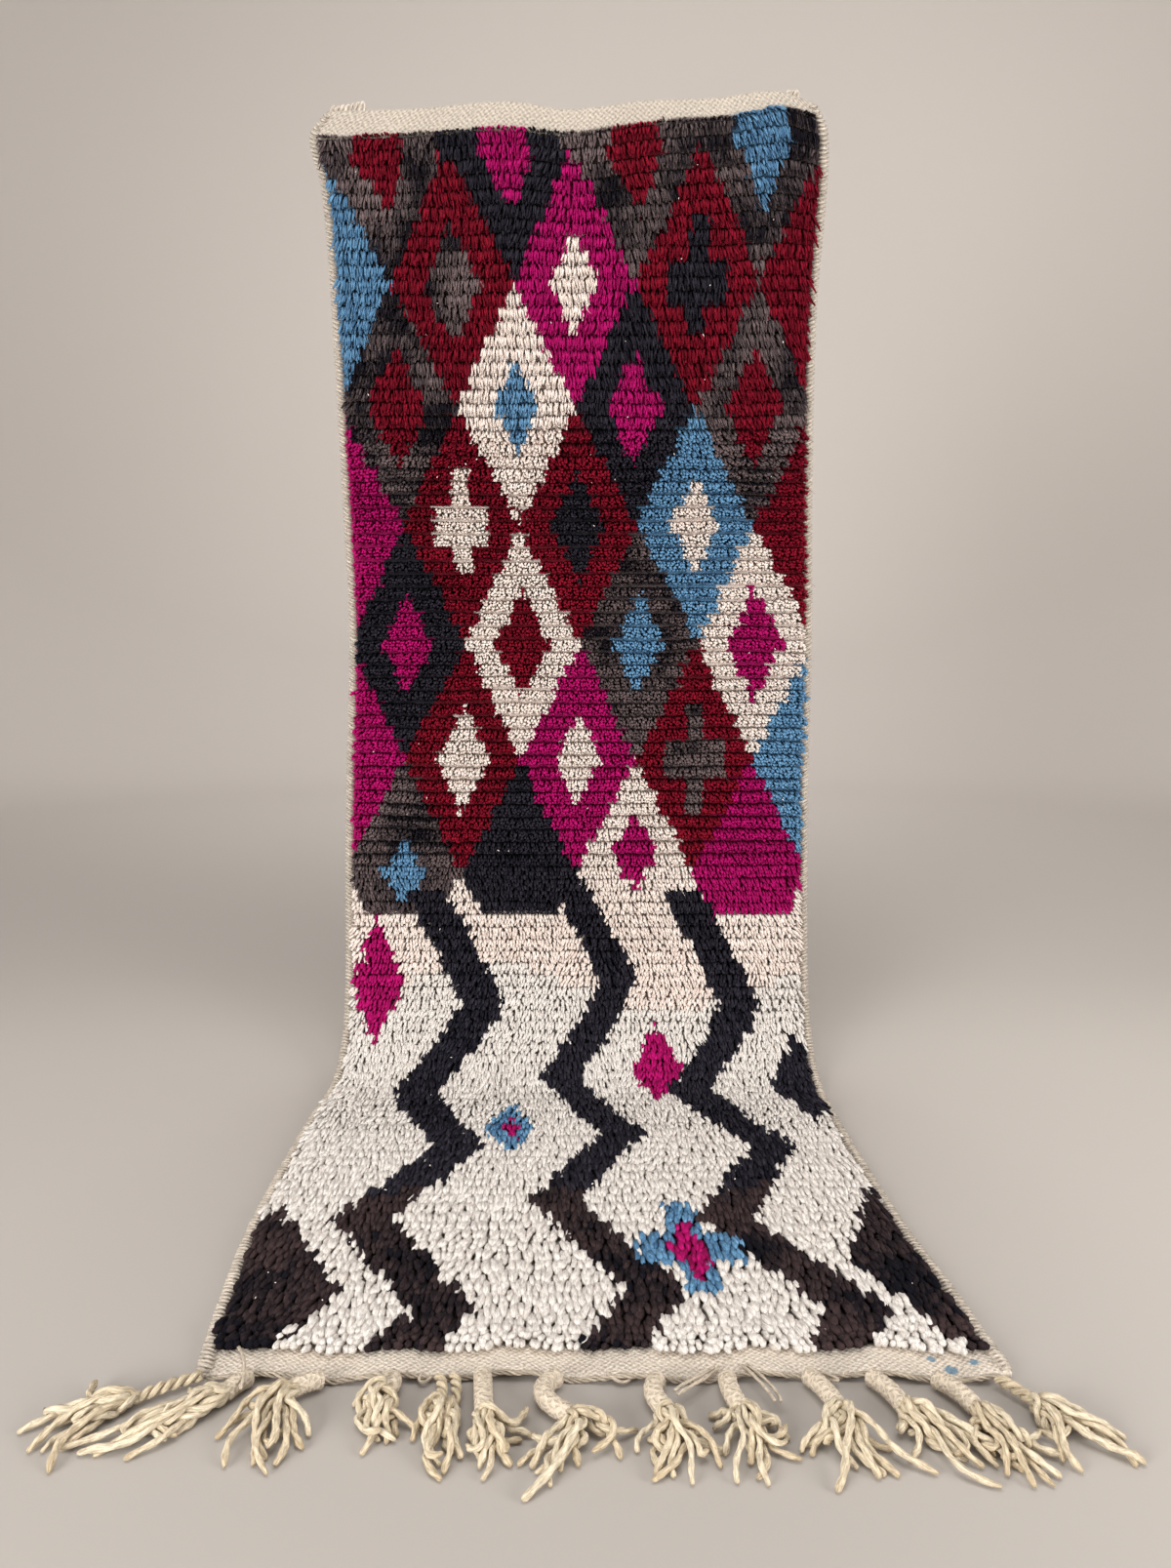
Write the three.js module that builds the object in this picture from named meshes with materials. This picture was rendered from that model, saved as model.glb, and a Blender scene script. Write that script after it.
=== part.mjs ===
// Berber runner rug: a woven wool ground with knotted pile on its face, hung by its top edge,
// falling straight, turning on a wide bend and lying out over the floor, with plaited tassels
// along the front edge.
//
// Millimetres, +Z up. The pile faces -Y where the rug hangs. The origin is the middle of the
// rug's footprint, at floor level.
//
// Every place on the cloth is given by two numbers: "across", from 0 at the left edge to 1 at
// the right edge, and "at", the distance down the cloth from its top edge.

import * as THREE from 'three';

// How the cloth falls
const TOP_Z = 1430;
const HANG_BACK_Y = 497.3;
const BEND_RADIUS = 260;
const FLOOR_RUN = 604;

// The cloth's make
const GROUND_THICKNESS = 4;
const PILE_HEIGHT = 20;
const PILE_UNEVEN = { height: 1.5, length: 29, turn: 23 };
const PILE_OVERHANG = 10;
const TOP_BAND = 36;
const FRONT_BAND = 40;
const SELVEDGE_SHARE = 0.0135;
const SEAT_GAP = 0.3;

// The two side edges: how far left and right of the middle they run, down the cloth
const SIDE_EDGES = [
  { at: 0, left: -367, right: 344 },
  { at: 34, left: -391, right: 361 },
  { at: 110, left: -376, right: 363 },
  { at: 283, left: -367, right: 353 },
  { at: 545, left: -360, right: 354 },
  { at: 768, left: -355, right: 360 },
  { at: 1000, left: -366, right: 360 },
  { at: 1220, left: -373, right: 364 },
  { at: 1476, left: -360, right: 354 },
  { at: 1640, left: -370, right: 357 },
  { at: 1912, left: -372, right: 373 },
  { at: 2050, left: -362, right: 391 },
  { at: 2183, left: -347, right: 401 },
];

// The top edge isn't level: how far it sits above its mean height, across the cloth
const TOP_EDGE = [
  { at: 0, rise: -9 },
  { at: 0.2, rise: -5 },
  { at: 0.37, rise: 4 },
  { at: 0.5, rise: -7 },
  { at: 0.65, rise: 5 },
  { at: 0.8, rise: 9 },
  { at: 0.92, rise: 19 },
  { at: 1, rise: 2 },
];
const TOP_EDGE_FADES = 300;

// Soft unevenness of the cloth
const HANG_WAVE = { height: 5, length: 170, start: 1.1, turn: 2.2, turnStart: 0.5, fades: 0.7 };
const FRONT_LIFT = { height: 6, length: 36, reach: 90 };
const FRONT_WAVE = { height: 3, length: 47 };

// Steps of the faceted surfaces
const ACROSS_STEPS = 12;
const HANG_STEPS = 20;
const BEND_STEPS = 12;
const FLOOR_STEPS = 12;
const RING_POINTS = 8;

// The cord along the front edge
const EDGE_CORD = { diameter: 9, steps: 40, start: 0.012, end: 0.985 };

// Tassels, left to right: where each leaves the edge, where its plaited neck ends and where
// its loose strands end. "out" is measured forwards from the front edge.
const TASSELS = [
  { root_x: -341, neck_x: -381, neck_out: 44, tip_x: -454, tip_out: 94, spray: 30 },
  { root_x: -297, neck_x: -309, neck_out: 52, tip_x: -392, tip_out: 108, spray: 34 },
  { root_x: -230, neck_x: -250, neck_out: 44, tip_x: -271, tip_out: 114, spray: 46 },
  { root_x: -167, neck_x: -172, neck_out: 46, tip_x: -181, tip_out: 97, spray: 40 },
  { root_x: -117, neck_x: -119, neck_out: 62, tip_x: -124, tip_out: 128, spray: 44 },
  { root_x: -84, neck_x: -76, neck_out: 72, tip_x: -62, tip_out: 125, spray: 40 },
  { root_x: -15, neck_x: 2, neck_out: 68, tip_x: -19, tip_out: 138, spray: 56 },
  { root_x: 76, neck_x: 73, neck_out: 70, tip_x: 81, tip_out: 133, spray: 50 },
  { root_x: 139, neck_x: 142, neck_out: 58, tip_x: 152, tip_out: 133, spray: 56 },
  { root_x: 213, neck_x: 231, neck_out: 58, tip_x: 232, tip_out: 138, spray: 56 },
  { root_x: 270, neck_x: 290, neck_out: 60, tip_x: 321, tip_out: 130, spray: 42 },
  { root_x: 328, neck_x: 352, neck_out: 60, tip_x: 380, tip_out: 138, spray: 44 },
  { root_x: 385, neck_x: 405, neck_out: 52, tip_x: 449, tip_out: 114, spray: 38 },
];
const TASSEL_NECK = 19;
const TASSEL_ROOT_OUT = 10.1;
const TASSEL_STATIONS = [
  { along: 0, width: 0.9, height: 0.8, centre: 9.5 },
  { along: 0.16, width: 1, height: 1, centre: 11.5 },
  { along: 0.32, width: 1, height: 1, centre: 12.5 },
  { along: 0.46, width: 0.9, height: 0.9, centre: 12 },
];
const SPRAY_STATIONS = [
  { along: 0.62, width: 0.75, height: 20, centre: 12 },
  { along: 0.82, width: 1, height: 18, centre: 10.5 },
  { along: 1, width: 0.8, height: 10, centre: 6.5 },
];

// Knotted ends of the selvedge cords, tucked behind the two top corners
const CORNER_KNOTS = [
  { name: 'corner_knot_left', x: -344, low: 1398, high: 1440, width: 46, depth: 16 },
  { name: 'corner_knot_right', x: 306, low: 1414, high: 1456, width: 26, depth: 14 },
];

const HANG_RUN = TOP_Z - BEND_RADIUS;
const BEND_RUN = BEND_RADIUS * Math.PI / 2;
const CLOTH_LENGTH = HANG_RUN + BEND_RUN + FLOOR_RUN;
const FRONT_EDGE_Y = HANG_BACK_Y - BEND_RADIUS - FLOOR_RUN;
const PILE_BACK = GROUND_THICKNESS + SEAT_GAP;

function ease(value) {
  const t = Math.min(1, Math.max(0, value));
  return t * t * (3 - 2 * t);
}

// A smooth curve through the rows of a table, read at one place
function between(rows, at, column) {
  const last = rows.length - 1;
  let row = 0;
  while (row < last - 1 && at > rows[row + 1].at) {
    row += 1;
  }
  const slope = (low, high) => {
    const from = rows[Math.max(0, low)];
    const to = rows[Math.min(last, high)];
    return (to[column] - from[column]) / (to.at - from.at);
  };
  const span = rows[row + 1].at - rows[row].at;
  const t = Math.min(1, Math.max(0, (at - rows[row].at) / span));
  const t2 = t * t;
  const t3 = t2 * t;
  return (2 * t3 - 3 * t2 + 1) * rows[row][column]
    + (t3 - 2 * t2 + t) * span * slope(row - 1, row + 1)
    + (3 * t2 - 2 * t3) * rows[row + 1][column]
    + (t3 - t2) * span * slope(row, row + 2);
}

// Where the cloth's back is at a distance down it, and the way its face points there
function fall(at) {
  if (at < HANG_RUN) {
    return { y: HANG_BACK_Y, z: TOP_Z - at, faceY: -1, faceZ: 0 };
  }
  if (at < HANG_RUN + BEND_RUN) {
    const turn = (at - HANG_RUN) / BEND_RADIUS;
    return {
      y: HANG_BACK_Y - BEND_RADIUS * (1 - Math.cos(turn)),
      z: BEND_RADIUS * (1 - Math.sin(turn)),
      faceY: -Math.cos(turn),
      faceZ: Math.sin(turn),
    };
  }
  const out = at - HANG_RUN - BEND_RUN;
  return { y: HANG_BACK_Y - BEND_RADIUS - out, z: 0, faceY: 0, faceZ: 1 };
}

// 0 on most of the cloth, and up to 1 at its front edge
function nearFront(at) {
  return ease((at - CLOTH_LENGTH + FRONT_LIFT.reach) / FRONT_LIFT.reach);
}

// How far the cloth stands off its plain fall: a slow wave where it hangs, and a front edge
// that lifts a little off the floor between its tassels
function standOff(across, at, x) {
  const hanging = 1 - ease((at / HANG_RUN - HANG_WAVE.fades) / (1 - HANG_WAVE.fades));
  const wave = HANG_WAVE.height * hanging
    * Math.sin(at / HANG_WAVE.length + HANG_WAVE.start)
    * Math.sin(HANG_WAVE.turn * across + HANG_WAVE.turnStart);
  return wave + FRONT_LIFT.height * nearFront(at) * Math.sin(x / FRONT_LIFT.length) ** 2;
}

// How far forwards of its mean line the front edge runs
function frontWave(x) {
  return FRONT_WAVE.height * Math.sin(x / FRONT_WAVE.length);
}

// One point of the cloth, "off" millimetres in front of its back face
function clothPoint(across, at, off) {
  const rise = between(TOP_EDGE, across, 'rise') * (1 - ease(at / TOP_EDGE_FADES));
  const left = between(SIDE_EDGES, at, 'left');
  const right = between(SIDE_EDGES, at, 'right');
  const x = left + (right - left) * across;
  const ahead = nearFront(at) * frontWave(x);
  const place = fall(at - rise);
  const away = off + standOff(across, at, x);
  return new THREE.Vector3(x, place.y + place.faceY * away - ahead, place.z + place.faceZ * away);
}

function steps(from, to, count) {
  const stops = [];
  for (let step = 0; step < count; step += 1) {
    stops.push(from + (to - from) * step / count);
  }
  return stops;
}

function meshOf(points, faces) {
  const geometry = new THREE.BufferGeometry();
  geometry.setAttribute('position', new THREE.Float32BufferAttribute(
    points.flatMap((point) => [point.x, point.y, point.z]), 3));
  geometry.setIndex(faces.flat());
  geometry.computeVertexNormals();
  return geometry;
}

// A closed slab between a back surface and a face surface that share one grid of stops
function slab(acrossStops, alongStops, backPoint, facePoint) {
  const wide = acrossStops.length;
  const long = alongStops.length;
  const points = [];
  for (const surface of [facePoint, backPoint]) {
    for (const at of alongStops) {
      for (const across of acrossStops) {
        points.push(surface(across, at));
      }
    }
  }
  const backStart = wide * long;
  const spot = (column, row) => row * wide + column;
  const faces = [];
  for (let row = 0; row < long - 1; row += 1) {
    for (let column = 0; column < wide - 1; column += 1) {
      const a = spot(column, row);
      const b = spot(column + 1, row);
      const c = spot(column + 1, row + 1);
      const d = spot(column, row + 1);
      faces.push([a, d, c], [a, c, b]);
      faces.push([a + backStart, c + backStart, d + backStart]);
      faces.push([a + backStart, b + backStart, c + backStart]);
    }
  }
  const rim = [];
  for (let row = 0; row < long - 1; row += 1) {
    rim.push(spot(0, row));
  }
  for (let column = 0; column < wide - 1; column += 1) {
    rim.push(spot(column, long - 1));
  }
  for (let row = long - 1; row > 0; row -= 1) {
    rim.push(spot(wide - 1, row));
  }
  for (let column = wide - 1; column > 0; column -= 1) {
    rim.push(spot(column, 0));
  }
  rim.forEach((here, index) => {
    const next = rim[(index + 1) % rim.length];
    faces.push([next, here, here + backStart], [next, here + backStart, next + backStart]);
  });
  return meshOf(points, faces);
}

// A closed body through oval sections that face along a route
function loft(sections) {
  const points = [];
  const faces = [];
  const up = new THREE.Vector3(0, 0, 1);
  sections.forEach((section, index) => {
    const before = sections[Math.max(0, index - 1)].centre;
    const after = sections[Math.min(sections.length - 1, index + 1)].centre;
    const ahead = section.ahead ?? after.clone().sub(before).normalize();
    const upright = section.upright ?? up;
    const side = ahead.clone().cross(upright).normalize();
    const top = side.clone().cross(ahead);
    for (let turn = 0; turn < RING_POINTS; turn += 1) {
      const angle = 2 * Math.PI * (turn + 0.5) / RING_POINTS;
      points.push(section.centre.clone()
        .addScaledVector(side, Math.cos(angle) * section.width / 2)
        .addScaledVector(top, Math.sin(angle) * section.height / 2));
    }
  });
  for (let ring = 0; ring < sections.length - 1; ring += 1) {
    for (let turn = 0; turn < RING_POINTS; turn += 1) {
      const here = ring * RING_POINTS + turn;
      const beside = ring * RING_POINTS + (turn + 1) % RING_POINTS;
      faces.push([here, here + RING_POINTS, beside]);
      faces.push([beside, here + RING_POINTS, beside + RING_POINTS]);
    }
  }
  const end = (sections.length - 1) * RING_POINTS;
  for (let turn = 1; turn < RING_POINTS - 1; turn += 1) {
    faces.push([0, turn, turn + 1], [end, end + turn + 1, end + turn]);
  }
  return meshOf(points, faces);
}

const acrossStops = [
  0,
  ...steps(SELVEDGE_SHARE, 1 - SELVEDGE_SHARE, ACROSS_STEPS),
  1 - SELVEDGE_SHARE,
  1,
];
const pileAcross = acrossStops.slice(1, -1);
const pileAlong = [
  ...steps(TOP_BAND, HANG_RUN, HANG_STEPS),
  ...steps(HANG_RUN, HANG_RUN + BEND_RUN, BEND_STEPS),
  ...steps(HANG_RUN + BEND_RUN, CLOTH_LENGTH - FRONT_BAND, FLOOR_STEPS),
  CLOTH_LENGTH - FRONT_BAND,
];
const alongStops = [
  0,
  TOP_BAND / 2,
  ...pileAlong,
  CLOTH_LENGTH - FRONT_BAND / 2,
  CLOTH_LENGTH,
];

// The woven ground, with its two flat-woven end bands and its side selvedges
function groundCloth() {
  return slab(
    acrossStops,
    alongStops,
    (across, at) => clothPoint(across, at, 0),
    (across, at) => clothPoint(across, at, GROUND_THICKNESS),
  );
}

// The body of the pile: it leans out past its roots along all four edges
function pile() {
  const share = PILE_OVERHANG / (SIDE_EDGES[0].right - SIDE_EDGES[0].left);
  const low = pileAcross[0];
  const high = pileAcross[pileAcross.length - 1];
  const firstRow = pileAlong[0];
  const lastRow = pileAlong[pileAlong.length - 1];
  const leanOut = (value, start, end, amount) => {
    if (value === start) {
      return value - amount;
    }
    return value === end ? value + amount : value;
  };
  const facePoint = (across, at) => {
    const uneven = PILE_UNEVEN.height
      * Math.sin(at / PILE_UNEVEN.length) * Math.cos(across * PILE_UNEVEN.turn);
    return clothPoint(
      leanOut(across, low, high, share),
      leanOut(at, firstRow, lastRow, PILE_OVERHANG),
      PILE_BACK + PILE_HEIGHT + uneven,
    );
  };
  return slab(pileAcross, pileAlong, (across, at) => clothPoint(across, at, PILE_BACK), facePoint);
}

// The twined cord that closes the front edge
function edgeCord() {
  const sections = [];
  for (let step = 0; step <= EDGE_CORD.steps; step += 1) {
    const across = EDGE_CORD.start + (EDGE_CORD.end - EDGE_CORD.start) * step / EDGE_CORD.steps;
    const centre = clothPoint(across, CLOTH_LENGTH, EDGE_CORD.diameter / 2);
    centre.y -= EDGE_CORD.diameter / 2 + 2 * SEAT_GAP;
    sections.push({ centre, width: EDGE_CORD.diameter, height: EDGE_CORD.diameter });
  }
  return loft(sections);
}

// One tassel: a round plaited neck that leaves the edge cord, and its spread of loose strands
function tassel(row) {
  const rootOut = TASSEL_ROOT_OUT + frontWave(row.root_x);
  const forwards = new THREE.Vector3(0, -1, 0);
  const route = new THREE.QuadraticBezierCurve3(
    new THREE.Vector3(row.root_x, FRONT_EDGE_Y - rootOut, 0),
    new THREE.Vector3(row.neck_x, FRONT_EDGE_Y - row.neck_out, 0),
    new THREE.Vector3(row.tip_x, FRONT_EDGE_Y - row.tip_out, 0),
  );
  const neck = TASSEL_STATIONS.map((station) => ({
    along: station.along,
    width: TASSEL_NECK * station.width,
    height: TASSEL_NECK * station.height,
    centre: station.centre,
  }));
  const spray = SPRAY_STATIONS.map((station) => ({
    along: station.along,
    width: row.spray * station.width,
    height: station.height,
    centre: station.centre,
  }));
  return loft([...neck, ...spray].map((station) => {
    const centre = route.getPoint(station.along);
    centre.z = station.centre;
    const ahead = station.along === 0 ? forwards : undefined;
    return { centre, ahead, width: station.width, height: station.height };
  }));
}

// How far back the cloth reaches behind a stretch of its top edge
function backOfTopEdge(lowX, highX, lowZ) {
  const left = SIDE_EDGES[1].left;
  const width = SIDE_EDGES[1].right - left;
  const places = [];
  for (const x of [lowX, (lowX + highX) / 2, highX]) {
    for (const at of [0, TOP_BAND / 2, TOP_Z - lowZ]) {
      places.push(clothPoint((x - left) / width, at, 0).y);
    }
  }
  return Math.max(...places);
}

// A knotted cord end, flat against the back of the cloth and just over its top edge
function cornerKnot(row) {
  const reach = row.width / 2;
  const y = backOfTopEdge(row.x - reach, row.x + reach, row.low) + SEAT_GAP + row.depth / 2;
  const back = new THREE.Vector3(0, 1, 0);
  const shape = [
    { share: 0, width: 0.5, depth: 0.6 },
    { share: 0.25, width: 0.9, depth: 1 },
    { share: 0.7, width: 1, depth: 1 },
    { share: 1, width: 0.55, depth: 0.5 },
  ];
  return loft(shape.map((station) => ({
    centre: new THREE.Vector3(row.x, y, row.low + (row.high - row.low) * station.share),
    width: row.width * station.width,
    height: row.depth * station.depth,
    upright: back,
  })));
}

const wool = {
  ground: new THREE.MeshStandardMaterial({ color: 0xd8cfc0, roughness: 0.95, metalness: 0 }),
  pile: new THREE.MeshStandardMaterial({ color: 0x7d1a2c, roughness: 1, metalness: 0 }),
  cord: new THREE.MeshStandardMaterial({ color: 0xd9cba9, roughness: 0.95, metalness: 0 }),
};

const rug = new THREE.Group();

function place(name, geometry, material) {
  const mesh = new THREE.Mesh(geometry, material);
  mesh.name = name;
  rug.add(mesh);
}

place('ground_cloth', groundCloth(), wool.ground);
place('pile', pile(), wool.pile);
place('edge_cord', edgeCord(), wool.cord);
TASSELS.forEach((row, index) => {
  place(`tassel_${String(index + 1).padStart(2, '0')}`, tassel(row), wool.cord);
});
CORNER_KNOTS.forEach((row) => place(row.name, cornerKnot(row), wool.cord));

export default rug;
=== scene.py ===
# Berber runner rug: a woven wool ground with long knotted pile, hung by its top edge, turning
# on a wide bend and lying out over the floor, with plaited tassels along its front edge.
#
# Metres, +Z up. The pile faces -Y where the rug hangs. A place on the cloth is given by
# "across", from 0 at the left edge to 1 at the right edge, and "at", the distance down the
# cloth from its top edge.

import math

import bpy
import numpy as np
from bpy.props import FloatProperty, FloatVectorProperty, IntProperty, PointerProperty
from bpy.types import Operator, Panel, PropertyGroup
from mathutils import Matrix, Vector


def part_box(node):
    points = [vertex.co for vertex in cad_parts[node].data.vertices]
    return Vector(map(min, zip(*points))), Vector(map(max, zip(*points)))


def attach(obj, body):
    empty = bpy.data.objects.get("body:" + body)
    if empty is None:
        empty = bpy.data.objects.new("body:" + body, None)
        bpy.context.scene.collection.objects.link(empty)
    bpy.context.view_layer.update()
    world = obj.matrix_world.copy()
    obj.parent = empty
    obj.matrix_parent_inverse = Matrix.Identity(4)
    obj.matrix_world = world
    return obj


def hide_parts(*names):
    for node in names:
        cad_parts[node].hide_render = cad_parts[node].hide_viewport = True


bl_info = {
    "name": "Berber runner rug",
    "version": (1, 0, 0),
    "blender": (4, 5, 0),
    "location": "View3D > Sidebar > Rug",
    "description": "Builds a long-piled berber runner with its bands, selvedges and tassels",
    "category": "Object",
}

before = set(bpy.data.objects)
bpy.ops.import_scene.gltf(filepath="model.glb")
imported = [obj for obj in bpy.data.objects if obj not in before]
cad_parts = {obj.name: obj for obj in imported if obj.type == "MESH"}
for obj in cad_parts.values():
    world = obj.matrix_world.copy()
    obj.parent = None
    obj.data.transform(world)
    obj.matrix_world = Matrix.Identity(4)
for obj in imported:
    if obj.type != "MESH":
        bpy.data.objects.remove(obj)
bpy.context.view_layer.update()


def table_of(columns, rows):
    """Rows as dictionaries, from the names of their columns."""
    return [dict(zip(columns.split(), row)) for row in rows]


# How the cloth falls
TOP_Z = 1.430
HANG_BACK_Y = 0.4973
BEND_RADIUS = 0.260
FLOOR_RUN = 0.604
HANG_RUN = TOP_Z - BEND_RADIUS
BEND_RUN = BEND_RADIUS * math.pi / 2
CLOTH_LENGTH = HANG_RUN + BEND_RUN + FLOOR_RUN
CLOTH_WIDTH = 0.75
FRONT_EDGE_Y = HANG_BACK_Y - BEND_RADIUS - FLOOR_RUN

# The cloth's make
GROUND_THICKNESS = 0.004
GROUND_COLUMNS = 47
TOP_BAND = 0.036
FRONT_BAND = 0.040
SELVEDGE_SHARE = 0.0135  # of the width, left bare of knots at each side
PILE_MARGIN = 0.0185  # of the width, from each side to the first strand's root

# The two side edges: how far left and right of the middle they run, down the cloth
SIDE_EDGES = {
    "at": [0, 0.034, 0.110, 0.283, 0.545, 0.768, 1.000, 1.220, 1.476, 1.640, 1.912, 2.050, 2.183],
    "left": [-0.367, -0.391, -0.376, -0.367, -0.360, -0.355, -0.366, -0.373, -0.360, -0.370,
             -0.372, -0.362, -0.347],
    "right": [0.344, 0.361, 0.363, 0.353, 0.354, 0.360, 0.360, 0.364, 0.354, 0.357, 0.373,
              0.391, 0.401],
}

# The top edge isn't level: how far it sits above its mean height, across the cloth
TOP_EDGE = {
    "at": [0, 0.2, 0.37, 0.5, 0.65, 0.8, 0.92, 1],
    "rise": [-0.009, -0.005, 0.004, -0.007, 0.005, 0.009, 0.019, 0.002],
}
TOP_EDGE_FADES = 0.300

# Soft unevenness of the cloth
HANG_WAVE = {"height": 0.005, "length": 0.170, "start": 1.1, "turn": 2.2, "turn_start": 0.5,
             "fades": 0.7}
FRONT_LIFT = {"height": 0.006, "length": 0.036, "reach": 0.090}
FRONT_WAVE = {"height": 0.003, "length": 0.047}

# Rows of knots
ROW_PITCH = 0.020
FIRST_ROW = TOP_BAND + 0.008
LAST_ROW = CLOTH_LENGTH - FRONT_BAND - 0.006
ROWS = int(round((LAST_ROW - FIRST_ROW) / ROW_PITCH))
TRUE_PITCH = (LAST_ROW - FIRST_ROW) / ROWS
KNOT_PITCH = 0.0045
KNOTTED_WIDTH = 0.715
NOMINAL_HALF = 0.360

# The pile from the top of the cloth to its front, zone by zone: how far down the zone ends, the
# strand's thickness where it starts and ends, how much fuller than that it's made, the strands
# one below another in each row of knots, how far apart those stand, how far apart strands stand
# across (in thicknesses), and the strand model
PILE_ZONES = table_of("to thick full legs apart across model", [
    (0.46, (0.0037, 0.0038), 1.0, 3, 0.0040, 1.00, "tuft"),
    (1.14, (0.0040, 0.0041), 1.0, 4, 0.0040, 1.00, "speck"),
    (1.66, (0.0044, 0.0054), 1.16, 3, 0.0058, 1.00, "tuft"),
    (1.90, (0.0054, 0.0064), 1.16, 3, 0.0060, 1.00, "lock"),
    (2.30, (0.0064, 0.0082), 1.12, 2, 0.0084, 0.96, "grain"),
])

# How the pile's stance changes down the cloth, as (start, length): where it stops drooping, where
# it stops facing the front, where it starts to lie down, and where it is on the floor
DROOP_GOES = (0.28, 0.36)
FACING_GOES = (0.98, 0.40)
LYING_COMES = (1.02, 0.50)
FLOOR_COMES = (1.30, 0.40)

# Pitch of the weave's nubs across and down, and how much finer they are on the front band
WARP_PITCH = 0.0084
WEFT_PITCH = 0.0074
FRONT_NUBS_FINER = 1.15

# How far the strands lean down the cloth: where the pile faces the front, where it droops, where
# it lies down, on the floor, and in the first row (up) and the last row (back)
LEAN = {"facing": 0.0040, "droop": 0.0185, "lying": 0.0210, "floor": 0.0060, "first": 0.0086,
        "last": 0.0110}

# The outermost strands spread over the selvedge: how wide that stretch is, and how far they go
EDGE = {"wide": 0.030, "spread": 0.018}

# The ends of the strands gather in tufts this wide, and wider by the second number on the floor
TUFT_WIDE = (0.0105, 0.0050)

# Single strands are between these shares of their zone's thickness
STRAND_SIZES = (0.88, 1.26)

# Spots of blue dye on the front band: place across and down the flat cloth, and radius
DYE_SPOTS = [(0.686, 2.155, 0.0050), (0.699, 2.171, 0.0076), (0.723, 2.163, 0.0054)]
SPOT_COLOUR = (0.085, 0.215, 0.330)

# Fine fibres that stand off the pile, and bits of lint caught in it
LINT_COUNT = 90
HAIRS = {"share": 0.075, "thick": 0.00055, "reach": 0.011}

# Yarns of the pile: a yarn's deep and bright colours, how strongly single strands differ, its
# fuzzy sheen and its roughness
YARNS = {row["name"]: row for row in table_of("name deep bright vary sheen rough", [
    ("wine", (0.060, 0.0006, 0.005), (0.290, 0.007, 0.026), 0.20, 0.03, 0.90),
    ("magenta", (0.220, 0.0015, 0.056), (0.560, 0.006, 0.180), 0.18, 0.04, 0.88),
    ("blue", (0.040, 0.110, 0.225), (0.170, 0.370, 0.590), 0.18, 0.12, 0.88),
    ("charcoal", (0.007, 0.006, 0.011), (0.185, 0.138, 0.140), 0.14, 0.05, 0.92),
    ("black", (0.003, 0.003, 0.007), (0.034, 0.031, 0.044), 0.25, 0.03, 0.92),
    ("brown", (0.005, 0.005, 0.009), (0.052, 0.033, 0.034), 0.20, 0.04, 0.92),
    ("cream", (0.780, 0.640, 0.570), (0.960, 0.870, 0.810), 0.16, 0.20, 0.85),
    ("white", (0.735, 0.677, 0.625), (0.852, 0.816, 0.776), 0.14, 0.20, 0.62),
])}
YARN_NAMES = list(YARNS)
PALE_YARNS = ("cream", "white")

# The design, in cloth millimetres from the middle of the width and down from the top edge:
# a lattice of tall lozenges over the hanging part, and broad zigzags over a cream field below.
# Later rows lie over earlier ones.
LATTICE = {"wide": 180, "long": 360, "start": 60}
LATTICE_YARNS = [
    ["charcoal", "black", "charcoal", "charcoal"],
    ["blue", "wine", "magenta", "wine", "wine"],
    ["charcoal", "cream", "black", "charcoal"],
    ["magenta", "wine", "wine", "blue", "wine"],
    ["black", "cream", "charcoal", "cream"],
    ["magenta", "wine", "magenta", "wine", "blue"],
    ["charcoal", "black", "cream", "magenta"],
    ["cream", "cream", "cream", "cream", "cream"],
]
DESIGN = table_of("yarn shape x at wide long swing turn", [
    ("wine", "lozenge", -270, 60, 80, 170),
    ("magenta", "lozenge", -90, 60, 84, 170),
    ("wine", "lozenge", 90, 60, 84, 170),
    ("blue", "lozenge", 270, 60, 90, 190),
    ("charcoal", "lozenge", -180, 240, 84, 170),
    ("cream", "lozenge", 0, 240, 76, 150),
    ("black", "cross", 180, 240, 84, 160),
    ("wine", "lozenge", -270, 420, 90, 180),
    ("blue", "lozenge", -90, 420, 66, 140),
    ("magenta", "lozenge", 90, 420, 84, 170),
    ("wine", "lozenge", 270, 420, 90, 180),
    ("cream", "cross", -180, 600, 84, 160),
    ("black", "lozenge", 0, 600, 84, 170),
    ("cream", "lozenge", 180, 600, 76, 150),
    ("magenta", "lozenge", -270, 780, 76, 160),
    ("wine", "lozenge", -90, 780, 84, 170),
    ("blue", "lozenge", 90, 780, 76, 160),
    ("magenta", "lozenge", 270, 780, 90, 180),
    ("cream", "lozenge", -180, 960, 84, 170),
    ("cream", "lozenge", 0, 960, 70, 150),
    ("charcoal", "cross", 180, 960, 90, 170),
    ("blue", "lozenge", -270, 1140, 70, 110),
    ("magenta", "lozenge", 90, 1110, 70, 120),
    ("black", "zigzag", -190, 1680, 66, 1010, 46, 360),
    ("black", "zigzag", 20, 1640, 58, 1010, 46, 360),
    ("black", "zigzag", 210, 1680, 62, 1010, 46, 360),
    ("magenta", "lozenge", -310, 1320, 84, 220),
    ("magenta", "lozenge", 120, 1480, 76, 180),
    ("blue", "lozenge", -84, 1660, 70, 150),
    ("magenta", "lozenge", -84, 1660, 26, 60),
    ("black", "lozenge", 330, 1520, 90, 240),
    ("brown", "lozenge", -330, 2040, 170, 330),
    ("blue", "cross", 115, 1960, 110, 190),
    ("magenta", "lozenge", 115, 1960, 46, 130),
    ("brown", "lozenge", 340, 1990, 130, 330),
])

# A cross's arms are this share of its width and length
CROSS_ARM = 0.3

# Where the lattice ends and the cream field starts, in millimetres down the cloth
CREAM_FROM = 1200

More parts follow.
